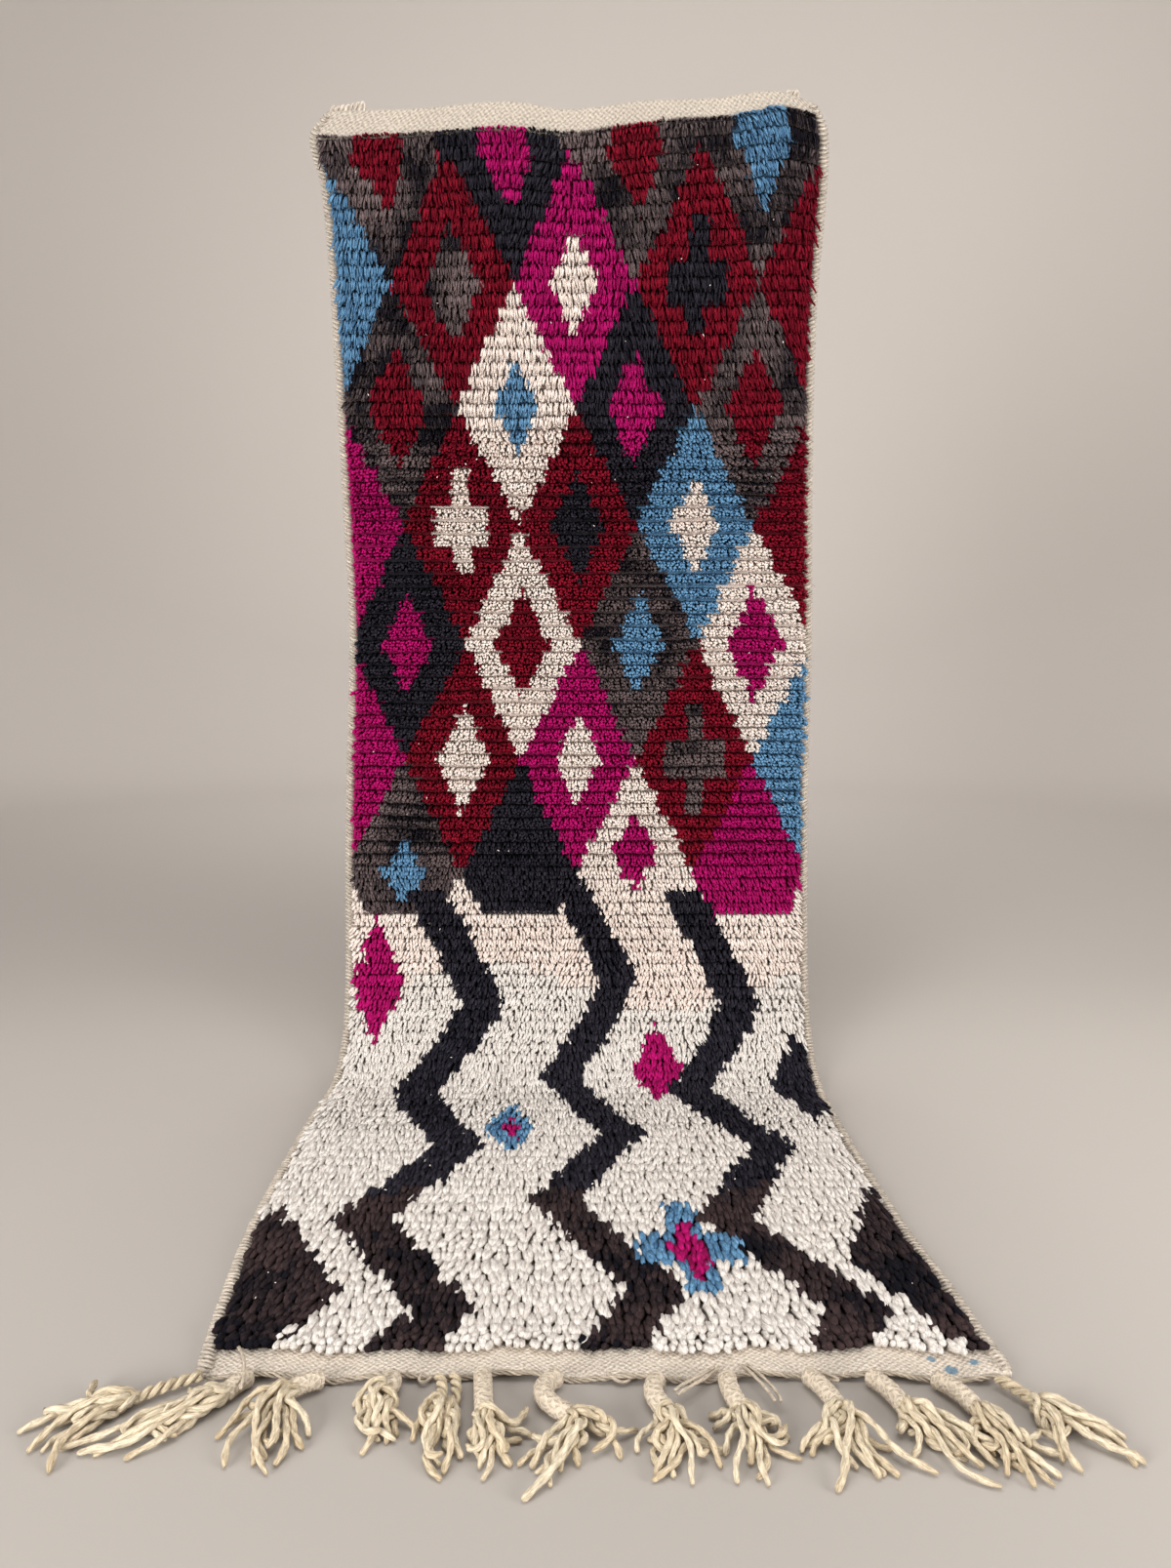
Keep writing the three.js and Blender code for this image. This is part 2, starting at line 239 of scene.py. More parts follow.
# Where cream gives way to white and black to brown, each on a slow wave across the width: how
# far down, how far the wave swings, and its length
WHITE_FROM = (1330, 40, 90)
BROWN_FROM = (1830, 30, 60)

# Tassels, left to right: where each leaves the edge, where its plaited neck ends, how far the
# neck bows to the right on its way, its kind and thickness, and where its longest strands end,
# as (x, out) pairs. "out" is measured forwards from the front edge.
TASSELS = table_of("root_x neck_x neck_out bow neck thick tips", [
    (-0.341, -0.392, 0.036, 0.000, "rope", 0.0115, [(-0.477, 0.074), (-0.445, 0.109),
        (-0.463, 0.090), (-0.439, 0.079), (-0.456, 0.069)]),
    (-0.297, -0.312, 0.032, 0.000, "braid", 0.0165, [(-0.417, 0.095), (-0.397, 0.104),
        (-0.383, 0.095), (-0.359, 0.054), (-0.429, 0.102), (-0.373, 0.079)]),
    (-0.230, -0.254, 0.026, 0.000, "braid", 0.0170, [(-0.283, 0.116), (-0.258, 0.122),
        (-0.228, 0.093), (-0.305, 0.081), (-0.273, 0.108), (-0.240, 0.111), (-0.304, 0.054)]),
    (-0.167, -0.170, 0.030, 0.004, "braid", 0.0165, [(-0.188, 0.055), (-0.178, 0.100),
        (-0.180, 0.079), (-0.160, 0.085), (-0.148, 0.076)]),
    (-0.117, -0.113, 0.046, 0.003, "pair", 0.0105, [(-0.135, 0.085), (-0.119, 0.113),
        (-0.125, 0.125), (-0.101, 0.122), (-0.088, 0.102), (-0.140, 0.054)]),
    (-0.084, -0.078, 0.062, 0.000, "braid", 0.0170, [(-0.078, 0.116), (-0.060, 0.125),
        (-0.040, 0.086), (-0.050, 0.113), (-0.071, 0.102)]),
    (-0.015, 0.000, 0.062, -0.020, "braid", 0.0175, [(-0.047, 0.147), (-0.024, 0.134),
        (-0.013, 0.125), (0.007, 0.113), (0.054, 0.074), (0.048, 0.089), (-0.038, 0.113)]),
    (0.076, 0.084, 0.058, -0.009, "braid", 0.0175, [(0.056, 0.118), (0.074, 0.124),
        (0.086, 0.129), (0.101, 0.133), (0.128, 0.099), (0.065, 0.102), (0.114, 0.119)]),
    (0.139, 0.147, 0.054, -0.003, "braid", 0.0170, [(0.135, 0.133), (0.167, 0.133),
        (0.118, 0.060), (0.184, 0.081), (0.153, 0.127), (0.175, 0.113), (0.128, 0.102)]),
    (0.213, 0.232, 0.052, 0.002, "braid", 0.0165, [(0.187, 0.093), (0.196, 0.099),
        (0.228, 0.142), (0.240, 0.128), (0.280, 0.133), (0.219, 0.113), (0.260, 0.127)]),
    (0.270, 0.290, 0.052, 0.002, "braid", 0.0165, [(0.315, 0.071), (0.322, 0.122),
        (0.364, 0.111), (0.343, 0.138), (0.287, 0.108), (0.311, 0.113)]),
    (0.328, 0.352, 0.052, 0.003, "braid", 0.0165, [(0.366, 0.138), (0.388, 0.130),
        (0.404, 0.124), (0.356, 0.124), (0.341, 0.108)]),
    (0.385, 0.408, 0.042, 0.000, "rope", 0.0120, [(0.423, 0.119), (0.460, 0.119),
        (0.466, 0.063), (0.462, 0.090), (0.414, 0.108), (0.411, 0.071)]),
])

# Loose threads about the front edge, each as (x, out, height) points
LOOSE_THREADS = [
    [(-0.322, -0.040, 0.009), (-0.306, -0.016, 0.016), (-0.297, 0.014, 0.020), (-0.296, 0.036, 0.018)],
    [(0.129, -0.006, 0.010), (0.116, 0.012, 0.013), (0.099, 0.024, 0.017), (0.089, 0.037, 0.017)],
    [(0.133, -0.005, 0.010), (0.121, 0.014, 0.012), (0.104, 0.028, 0.016), (0.091, 0.042, 0.017)],
    [(0.155, -0.008, 0.010), (0.166, 0.014, 0.013), (0.173, 0.030, 0.013), (0.176, 0.048, 0.015)],
    [(0.160, -0.008, 0.010), (0.173, 0.012, 0.012), (0.181, 0.028, 0.012), (0.182, 0.046, 0.013)],
    [(0.224, 0.000, 0.009), (0.240, 0.007, 0.009), (0.245, 0.014, 0.008), (0.234, 0.010, 0.008)],
    [(0.030, 0.000, 0.008), (0.038, 0.010, 0.006), (0.046, 0.012, 0.004), (0.052, 0.004, 0.006)],
    [(-0.140, 0.000, 0.008), (-0.146, 0.009, 0.006), (-0.138, 0.014, 0.004), (-0.131, 0.004, 0.007)],
]

# Undyed wool of the plaited necks and of the twined front edge
NECK_COLOUR = (0.620, 0.535, 0.430)

# Pitch of the ridges around and along a plaited neck
PLAIT = {"around": 0.0058, "along": 0.0080}

# Where a neck leaves the cloth: how far in front of the edge and how high
NECK_ROOT = (0.008, 0.0090)

# Points along the path of a neck or of a loose strand
PATH_POINTS = 24

# The two knotted cord ends that peep over the top edge
CORNER_KNOTS = table_of("name x low high width loops", [
    ("corner_knot_left", -0.345, 1.402, (1.430, 1.444), 0.050, 7),
    ("corner_knot_right", 0.308, 1.424, (1.452, 1.456), 0.018, 3),
])

# The camera stands in front of the middle of the rug
CAMERA = {"place": (0.010, -1.3567, 0.703), "pitch": 81.5, "lens": 27.04, "sensor": 36}


class RugPileSizes(PropertyGroup):
    height: FloatProperty(
        name="Pile height", description="How far the pile stands off the ground cloth",
        default=0.021, min=0.005, max=0.05, unit="LENGTH")
    fullness: FloatProperty(
        name="Fullness", description="Thickness of every strand, as a share of its usual thickness",
        default=1.0, min=0.3, max=2.0)
    seed: IntProperty(name="Seed", description="Start of the pile's random numbers", default=7)


class RugClothColours(PropertyGroup):
    ground: FloatVectorProperty(
        name="Ground", description="Undyed wool of the ground cloth", subtype="COLOR",
        default=(0.590, 0.525, 0.450))
    fringe: FloatVectorProperty(
        name="Fringe", description="Undyed wool of the tassels", subtype="COLOR",
        default=(0.690, 0.592, 0.432))
    floor: FloatVectorProperty(
        name="Floor", description="The plain pale floor", subtype="COLOR",
        default=(0.405, 0.378, 0.353))
    backdrop: FloatVectorProperty(
        name="Backdrop", description="The plain pale wall behind", subtype="COLOR",
        default=(0.655, 0.617, 0.585))


class RugTasselSizes(PropertyGroup):
    strand: FloatProperty(
        name="Fringe strand", description="Thickness of one loose fringe strand",
        default=0.0070, min=0.002, max=0.02, unit="LENGTH")
    count: IntProperty(
        name="Strands", description="Loose strands in each tassel", default=13, min=3, max=30)


# Shapes of the cloth

def ease(value):
    t = np.clip(value, 0, 1)
    return t * t * (3 - 2 * t)


def between(table, at, column):
    """A smooth curve through a column of a table, read at an array of places."""
    stops = np.array(table["at"], float)
    values = np.array(table[column], float)
    last = len(stops) - 1
    at = np.asarray(at, float)
    row = np.searchsorted(stops[1:-1], at, side="left")

    def slope(low, high):
        low = np.maximum(0, low)
        high = np.minimum(last, high)
        return (values[high] - values[low]) / (stops[high] - stops[low])

    span = stops[row + 1] - stops[row]
    t = np.clip((at - stops[row]) / span, 0, 1)
    t2 = t * t
    t3 = t2 * t
    return (
        (2 * t3 - 3 * t2 + 1) * values[row]
        + (t3 - 2 * t2 + t) * span * slope(row - 1, row + 1)
        + (3 * t2 - 2 * t3) * values[row + 1]
        + (t3 - t2) * span * slope(row, row + 2)
    )


def fall(at):
    """Where the cloth's back is at a distance down it, and the way its face points there."""
    turn = np.clip((at - HANG_RUN) / BEND_RADIUS, 0, math.pi / 2)
    above = np.minimum(at, HANG_RUN)
    beyond = np.maximum(at - HANG_RUN - BEND_RUN, 0)
    y = HANG_BACK_Y - BEND_RADIUS * (1 - np.cos(turn)) - beyond
    z = TOP_Z - above - BEND_RADIUS * np.sin(turn)
    return y, z, -np.cos(turn), np.sin(turn)


def near_front(at):
    return ease((at - CLOTH_LENGTH + FRONT_LIFT["reach"]) / FRONT_LIFT["reach"])


def stand_off(across, at, x):
    fades = HANG_WAVE["fades"]
    hanging = 1 - ease((at / HANG_RUN - fades) / (1 - fades))
    wave = HANG_WAVE["height"] * hanging * np.sin(at / HANG_WAVE["length"] + HANG_WAVE["start"])
    wave = wave * np.sin(HANG_WAVE["turn"] * across + HANG_WAVE["turn_start"])
    return wave + FRONT_LIFT["height"] * near_front(at) * np.sin(x / FRONT_LIFT["length"]) ** 2


def front_wave(x):
    return FRONT_WAVE["height"] * np.sin(x / FRONT_WAVE["length"])


def cloth_point(across, at, off):
    """Points of the cloth, "off" metres in front of its back face."""
    across, at, off = np.broadcast_arrays(
        np.asarray(across, float), np.asarray(at, float), np.asarray(off, float))
    rise = between(TOP_EDGE, across, "rise") * (1 - ease(at / TOP_EDGE_FADES))
    left = between(SIDE_EDGES, at, "left")
    right = between(SIDE_EDGES, at, "right")
    x = left + (right - left) * across
    ahead = near_front(at) * front_wave(x)
    y, z, face_y, face_z = fall(at - rise)
    away = off + stand_off(across, at, x)
    return np.stack([x, y + face_y * away - ahead, z + face_z * away], axis=-1)


def unit(vectors):
    return vectors / np.maximum(np.linalg.norm(vectors, axis=-1, keepdims=True), 1e-9)


def cloth_axes(across, at):
    """Sideways, down the cloth and out of its face, at each place."""
    small = 0.002
    side = unit(cloth_point(across + small, at, 0) - cloth_point(across - small, at, 0))
    down = cloth_point(across, at + small, 0) - cloth_point(across, at - small, 0)
    down = unit(down - side * np.sum(side * down, axis=-1, keepdims=True))
    return side, down, np.cross(down, side)


def soft_noise(x, y, seed):
    """Smooth random numbers from -1 to 1 over a plane, one cell to a unit."""
    grid = np.random.default_rng(seed).uniform(-1, 1, (64, 64))
    column = np.floor(x).astype(int)
    row = np.floor(y).astype(int)
    u = ease(x - column)
    v = ease(y - row)
    low = grid[row % 64, column % 64] * (1 - u) + grid[row % 64, (column + 1) % 64] * u
    high = grid[(row + 1) % 64, column % 64] * (1 - u) + grid[(row + 1) % 64, (column + 1) % 64] * u
    return low * (1 - v) + high * v


# The design

def inside_shape(row, x, at):
    sideways = np.abs(x - row["x"])
    along = np.abs(at - row["at"])
    half_wide = row["wide"] / 2
    half_long = row["long"] / 2
    if row["shape"] == "lozenge":
        return sideways / half_wide + along / half_long < 1
    if row["shape"] == "cross":
        upright = (along < half_long) & (sideways < CROSS_ARM * half_wide)
        return upright | ((sideways < half_wide) & (along < CROSS_ARM * half_long))
    turn = (at - row["at"] + half_long) / row["turn"]
    swing = row["swing"] * (4 * np.abs(turn - np.floor(turn + 0.5)) - 1)
    return (along < half_long) & (np.abs(x - row["x"] - swing) < half_wide)


def lattice_yarn(x, at):
    """The yarn of the tall lozenge that each place lies in."""
    wide = LATTICE["wide"]
    long = LATTICE["long"]
    u = x / wide + 2
    v = (at - LATTICE["start"]) / long
    first = np.floor(u + v)
    second = np.floor(v - u)
    tier = (first + second + 1).astype(int)
    place = (first - second).astype(int) // 2
    tier = np.clip(tier, 0, len(LATTICE_YARNS) - 1)
    yarn = np.zeros(x.shape, int)
    for number, names in enumerate(LATTICE_YARNS):
        chosen = np.array([YARN_NAMES.index(name) for name in names])
        spot = np.clip(place, 0, len(names) - 1)
        yarn = np.where(tier == number, chosen[spot], yarn)
    return yarn


def yarn_at(across, at):
    """The index of the yarn that the design has at each place."""
    x = flat_x(across) * 1000
    at = at * 1000
    number = YARN_NAMES.index
    yarn = np.where(at < CREAM_FROM, lattice_yarn(x, at), number("cream"))
    for row in DESIGN:
        yarn = np.where(inside_shape(row, x, at), number(row["yarn"]), yarn)
    for old, new, (start, swing, wave) in (
        ("cream", "white", WHITE_FROM), ("black", "brown", BROWN_FROM)
    ):
        beyond = at > start + swing * np.sin(x / wave)
        yarn = np.where((yarn == number(old)) & beyond, number(new), yarn)
    return yarn


# Modelling helpers

def start_modelling():
    if bpy.context.object and bpy.context.object.mode != "OBJECT":
        bpy.ops.object.mode_set(mode="OBJECT")
    bpy.ops.object.select_all(action="DESELECT")


def model_strand(sides, stations, lobes=0.0, turn=0.0, tip=0.0):
    """One upright strand a unit long, as a template: stations are (height, thickness) pairs."""
    start_modelling()
    bpy.ops.mesh.primitive_circle_add(vertices=sides, radius=0.5, fill_type="NGON")
    strand = bpy.context.object
    for vertex in strand.data.vertices:
        angle = math.atan2(vertex.co.y, vertex.co.x)
        vertex.co *= stations[0][1] * (1 - lobes + lobes * math.cos(2 * angle))
    bpy.ops.object.mode_set(mode="EDIT")
    bpy.ops.mesh.select_all(action="SELECT")
    for low, high in zip(stations, stations[1:]):
        bpy.ops.mesh.extrude_region_move(TRANSFORM_OT_translate={"value": (0, 0, high[0] - low[0])})
        size = high[1] / low[1]
        bpy.ops.transform.resize(value=(size, size, 1), center_override=(0, 0, high[0]))
        if turn:
            bpy.ops.transform.rotate(
                value=turn * (high[0] - low[0]), orient_axis="Z", center_override=(0, 0, high[0]))
    if tip:
        bpy.ops.mesh.poke(offset=0)
        bpy.ops.mesh.select_all(action="DESELECT")
    bpy.ops.mesh.select_all(action="SELECT")
    bpy.ops.mesh.normals_make_consistent(inside=False)
    bpy.ops.object.mode_set(mode="OBJECT")
    if tip:
        top = max(vertex.co.z for vertex in strand.data.vertices)
        for vertex in strand.data.vertices:
            if vertex.co.z > top - 1e-6 and math.hypot(vertex.co.x, vertex.co.y) < 1e-4:
                vertex.co.z = top + tip
        for vertex in strand.data.vertices:
            vertex.co.z /= top + tip
    return read_template(strand)


def read_points(mesh):
    points = np.empty(len(mesh.vertices) * 3)
    mesh.vertices.foreach_get("co", points)
    return points.reshape(-1, 3)


def read_faces(mesh):
    """The point at each corner of the faces, and each face's first corner."""
    corners = np.empty(len(mesh.loops), int)
    mesh.loops.foreach_get("vertex_index", corners)
    starts = np.empty(len(mesh.polygons), int)
    mesh.polygons.foreach_get("loop_start", starts)
    return corners, starts


def set_points(mesh, points):
    mesh.vertices.foreach_set("co", points.astype(np.float32).ravel())


def point_values(mesh, name, values):
    attribute = mesh.attributes.new(name, "FLOAT", "POINT")
    attribute.data.foreach_set("value", values.astype(np.float32))


def triangles(mesh):
    return sum(len(face.vertices) - 2 for face in mesh.polygons)


def read_template(strand):
    """A modelled strand's points, corners and faces, with a turn and a height for each corner."""
    mesh = strand.data
    points = read_points(mesh)
    corners, starts = read_faces(mesh)
    turns = np.empty(len(corners))
    for polygon in mesh.polygons:
        loops = list(polygon.loop_indices)
        spots = points[corners[loops]]
        angles = np.arctan2(spots[:, 1], spots[:, 0]) / (2 * math.pi)
        firm = np.hypot(spots[:, 0], spots[:, 1]) > 1e-4
        first = angles[firm][0]
        angles = first + (angles - first + 0.5) % 1 - 0.5
        angles[~firm] = angles[firm].mean()
        turns[loops] = angles - math.floor(angles.min())
    bpy.data.objects.remove(strand)
    return {
        "points": points, "corners": corners, "starts": starts,
        "turn": turns / 1.5, "height": points[corners, 2],
    }


def joined_mesh(name, places, template, thickness, lengths, values):
    """One mesh of many placed copies of a template. places is copies x template points x 3."""
    copies, count, _ = places.shape
    corners = (template["corners"][None, :] + count * np.arange(copies)[:, None]).ravel()
    starts = (
        template["starts"][None, :] + len(template["corners"]) * np.arange(copies)[:, None]
    ).ravel()
    across_cells = math.ceil(math.sqrt(copies))
    cell = np.arange(copies)
    fit = 0.86 / across_cells
    bake_u = (cell % across_cells / across_cells)[:, None] + template["turn"][None, :] * fit
    bake_v = (cell // across_cells / across_cells)[:, None] + template["height"][None, :] * fit
    fibre_u = template["turn"][None, :] * thickness[:, None] * math.pi + cell[:, None] * 0.37
    fibre_v = template["height"][None, :] * lengths[:, None] + cell[:, None] * 0.11
    return {
        "name": name, "points": places.reshape(-1, 3), "corners": corners, "starts": starts,
        "maps": {
            "OFBake": np.stack([bake_u, bake_v], -1).reshape(-1, 2),
            "fibre": np.stack([fibre_u, fibre_v], -1).reshape(-1, 2),
        },
        "values": {key: value.ravel() for key, value in values.items()},
    }


def stacked(name, parts):
    """Several joined meshes as one, each with its own share of the OFBake map."""
    points, corners, starts = [], [], []
    maps = {"OFBake": [], "fibre": []}
    values = {key: [] for key in parts[0]["values"]}
    point_count = 0
    corner_count = 0
    for index, part in enumerate(parts):
        points.append(part["points"])
        corners.append(part["corners"] + point_count)
        starts.append(part["starts"] + corner_count)
        point_count += len(part["points"])
        corner_count += len(part["corners"])
        share = part["maps"]["OFBake"] * (1 / len(parts), 1) + (index / len(parts), 0)
        maps["OFBake"].append(share)
        maps["fibre"].append(part["maps"]["fibre"])
        for key in values:
            values[key].append(part["values"][key])
    return {
        "name": name, "points": np.concatenate(points), "corners": np.concatenate(corners),
        "starts": np.concatenate(starts),
        "maps": {key: np.concatenate(found) for key, found in maps.items()},
        "values": {key: np.concatenate(found) for key, found in values.items()},
    }


def make_object(data, material):
    mesh = bpy.data.meshes.new(data["name"])
    mesh.vertices.add(len(data["points"]))
    set_points(mesh, data["points"])
    mesh.loops.add(len(data["corners"]))
    mesh.loops.foreach_set("vertex_index", data["corners"].astype(np.int32))
    mesh.polygons.add(len(data["starts"]))
    mesh.polygons.foreach_set("loop_start", data["starts"].astype(np.int32))
    mesh.update(calc_edges=True)
    for key, values in data["maps"].items():
        layer = mesh.uv_layers.new(name=key)
        layer.data.foreach_set("uv", values.astype(np.float32).ravel())
    for key, values in data["values"].items():
        point_values(mesh, key, values)
    mesh.shade_smooth()
    mesh.materials.append(material)
    piece = bpy.data.objects.new(data["name"], mesh)
    bpy.context.scene.collection.objects.link(piece)
    return piece


# Material helpers

def scaled(colour, factor):
    """A colour made deeper or brighter, with no channel over 1."""
    return tuple(min(1, value * factor) for value in colour)


def add_node(tree, kind, label, **settings):
    node = tree.nodes.new("ShaderNode" + kind)
    node.label = label
    for key, value in settings.items():
        setattr(node, key, value)
    return node


def set_inputs(node, **values):
    for key, value in values.items():
        node.inputs[key.replace("_", " ")].default_value = value


def wire(source, output, target, entry):
    """Links two nodes of one tree."""
    source.id_data.links.new(source.outputs[output], target.inputs[entry])


def math_node(tree, label, operation, value=None, place=1, vector=False):
    """A math node, with the number in one of its sockets where one is given."""
    node = add_node(tree, "VectorMath" if vector else "Math", label, operation=operation)
    if value is not None:
        node.inputs[place].default_value = value
    return node


def range_node(tree, label, start, end, low=0.0, high=1.0, **settings):
    """A node that maps start to low and end to high."""
    node = add_node(tree, "MapRange", label, **settings)
    set_inputs(node, From_Min=start, From_Max=end, To_Min=low, To_Max=high)
    return node


def new_group(name, inputs, outputs):
    """An empty node group with its sockets, and its entry and exit."""
    tree = bpy.data.node_groups.new(name, "ShaderNodeTree")
    for way, sockets in (("INPUT", inputs), ("OUTPUT", outputs)):
        for label, kind in sockets.items():
            tree.interface.new_socket(label, in_out=way, socket_type="NodeSocket" + kind)
    return tree, tree.nodes.new("NodeGroupInput"), tree.nodes.new("NodeGroupOutput")


def built_once(build):
    """A maker of a node group that hands back the group if it has made it before."""
    name = build.__name__.removesuffix("_group")
    return lambda: bpy.data.node_groups.get(name) or build(name)


@built_once
def wool_fibre_group(name):
    """Fine fibres that run along a strand: a streak value and a height."""
    tree, entry, exit_node = new_group(
        name, {"Vector": "Vector", "Fineness": "Float"}, {"Streak": "Float", "Height": "Float"})
    stretch = add_node(tree, "Mapping", "Stretch along the strand")
    stretch.inputs["Scale"].default_value = (1, 0.16, 1)
    fibres = add_node(tree, "TexNoise", "Fibres", noise_dimensions="2D")
    set_inputs(fibres, Detail=3.0, Roughness=0.6, Distortion=0.6)
    contrast = range_node(tree, "Contrast", 0.32, 0.68)
    wire(entry, "Vector", stretch, "Vector")
    wire(stretch, "Vector", fibres, "Vector")
    wire(entry, "Fineness", fibres, "Scale")
    wire(fibres, "Fac", contrast, "Value")
    wire(contrast, "Result", exit_node, "Streak")
    wire(fibres, "Fac", exit_node, "Height")
    return tree


@built_once
def dyed_wool_group(name):
    """A strand's colour between deep and bright, with painted shade towards its root and between its
    fibres.
    """
    inputs = dict.fromkeys(("Deep", "Bright"), "Color")
    inputs.update(dict.fromkeys(("Shade", "Streak", "Along", "Root Light"), "Float"))
    tree, entry, exit_node = new_group(name, inputs, {"Color": "Color"})
    streaked = math_node(tree, "Add streaks", "MULTIPLY_ADD", 0.35)
    blend = add_node(tree, "Mix", "Deep to bright", data_type="RGBA", clamp_factor=True)
    # Painted shade: darker towards the root, deep in the pile; Root Light is the share of the colour left
    # at the root
    rooted = range_node(tree, "Root to tip", 0.15, 0.85)
    apply_painted_shade = math_node(tree, "Darken the root", "SCALE", vector=True)
    wire(entry, "Streak", streaked, 0)
    wire(entry, "Shade", streaked, 2)
    wire(streaked, 0, blend, "Factor")
    wire(entry, "Deep", blend, "A")
    wire(entry, "Bright", blend, "B")
    wire(entry, "Along", rooted, "Value")
    wire(entry, "Root Light", rooted, "To Min")
    # Painted shade between the fibres, darker where the streaks are low
    gaps = math_node(tree, "Darker between the fibres", "MULTIPLY_ADD", 0.50)
    gaps.inputs[2].default_value = 0.66
    both = math_node(tree, "Root and gaps", "MULTIPLY")
    wire(entry, "Streak", gaps, 0)
    wire(rooted, "Result", both, 0)
    wire(gaps, 0, both, 1)
    wire(blend, "Result", apply_painted_shade, 0)
    wire(both, 0, apply_painted_shade, "Scale")
    wire(apply_painted_shade, "Vector", exit_node, "Color")
    return tree


def strand_material(name, deep, bright, sheen=0.2, rough=0.85, root_light=0.35, fineness=800.0, bump=0.9,
                    plait=None):
    """Dyed wool yarn, with fibres along each strand, and a plait of another colour where one is given."""
    material = bpy.data.materials.new(name)
    material.use_nodes = True
    tree = material.node_tree
    shader = tree.nodes["Principled BSDF"]
    set_inputs(shader, Roughness=rough, Sheen_Weight=sheen, Sheen_Roughness=0.45)
    shader.inputs["Specular IOR Level"].default_value = 0.10 + 0.9 * (0.9 - min(0.9, rough))
    shader.inputs["Sheen Tint"].default_value = (*bright, 1)
    shade = add_node(tree, "Attribute", "Strand's shade", attribute_name="shade")
    along = add_node(tree, "Attribute", "Root to tip", attribute_name="along")
    place = add_node(tree, "UVMap", "Along the strand", uv_map="fibre")
    fibre = add_node(tree, "Group", "Wool fibre", node_tree=wool_fibre_group())
    fibre.inputs["Fineness"].default_value = fineness
    dye = add_node(tree, "Group", "Dyed wool", node_tree=dyed_wool_group())
    dye.inputs["Deep"].default_value = (*deep, 1)
    dye.inputs["Bright"].default_value = (*bright, 1)
    # How far the painted shade at the root darkens the strand
    dye.inputs["Root Light"].default_value = root_light
    relief = add_node(tree, "Bump", "Fibre relief")
    set_inputs(relief, Strength=bump, Distance=0.0014)
    wire(place, "UV", fibre, "Vector")
    wire(shade, "Fac", dye, "Shade")
    wire(along, "Fac", dye, "Along")
    wire(fibre, "Streak", dye, "Streak")
    wire(relief, "Normal", shader, "Normal")
    if not plait:
        wire(dye, "Color", shader, "Base Color")
        wire(fibre, "Height", relief, "Height")
        return material
    braid = add_node(tree, "Group", "Plait ridges", node_tree=plait_ridges_group())
    plaited = add_node(tree, "Attribute", "Plaited neck", attribute_name="plait")
    # Painted shade in the hollows of the plait and painted highlight on its ridges, over the neck's undyed
    # wool
    painted_light_and_shade = range_node(tree, "Ridge tone", -0.3, 1.0, 0.86, 1.10)
    neck_with_painted_ridges = math_node(tree, "Dull wool of the neck", "SCALE", plait, place=0, vector=True)
    choose = add_node(tree, "Mix", "Neck or strand", data_type="RGBA")
    ridges = math_node(tree, "Ridges and fibres", "MULTIPLY_ADD")
    raised = math_node(tree, "Ridges on the neck", "MULTIPLY")
    wire(place, "UV", braid, "Vector")
    wire(braid, "Height", painted_light_and_shade, "Value")
    wire(painted_light_and_shade, "Result", neck_with_painted_ridges, "Scale")
    wire(plaited, "Fac", choose, "Factor")
    wire(dye, "Color", choose, "A")
    wire(neck_with_painted_ridges, "Vector", choose, "B")
    wire(choose, "Result", shader, "Base Color")
    wire(braid, "Height", raised, 0)
    wire(plaited, "Fac", raised, 1)
    wire(raised, 0, ridges, 0)
    ridges.inputs[1].default_value = 0.65
    wire(fibre, "Height", ridges, 2)
    wire(ridges, 0, relief, "Height")
    return material


@built_once
def plait_ridges_group(name):
    """Crossing ridges of a round plait, over a strand's own map in metres."""
    tree, entry, exit_node = new_group(name, {"Vector": "Vector"}, {"Height": "Float"})
    uneven = add_node(tree, "TexNoise", "Uneven plait", noise_dimensions="2D")
    set_inputs(uneven, Scale=120.0, Detail=3.0)
    shift = math_node(tree, "Shift", "MULTIPLY_ADD", (0.009, 0.013, 0), vector=True)
    wire(entry, "Vector", uneven, "Vector")
    wire(uneven, "Color", shift, 0)
    wire(entry, "Vector", shift, 2)
    waves = []
    for way in (1, -1):
        turns = (2 * math.pi / PLAIT["around"], way * 2 * math.pi / PLAIT["along"], 0)
        slant = math_node(tree, "Slant", "DOT_PRODUCT", turns, vector=True)
        wave = math_node(tree, "Ridge", "SINE")
        wire(shift, "Vector", slant, 0)
        wire(slant, "Value", wave, 0)
        waves.append(wave)
    highest = math_node(tree, "Upper ridge", "MAXIMUM")
    wire(waves[0], 0, highest, 0)
    wire(waves[1], 0, highest, 1)
    wire(highest, 0, exit_node, "Height")
    return tree


# Pile

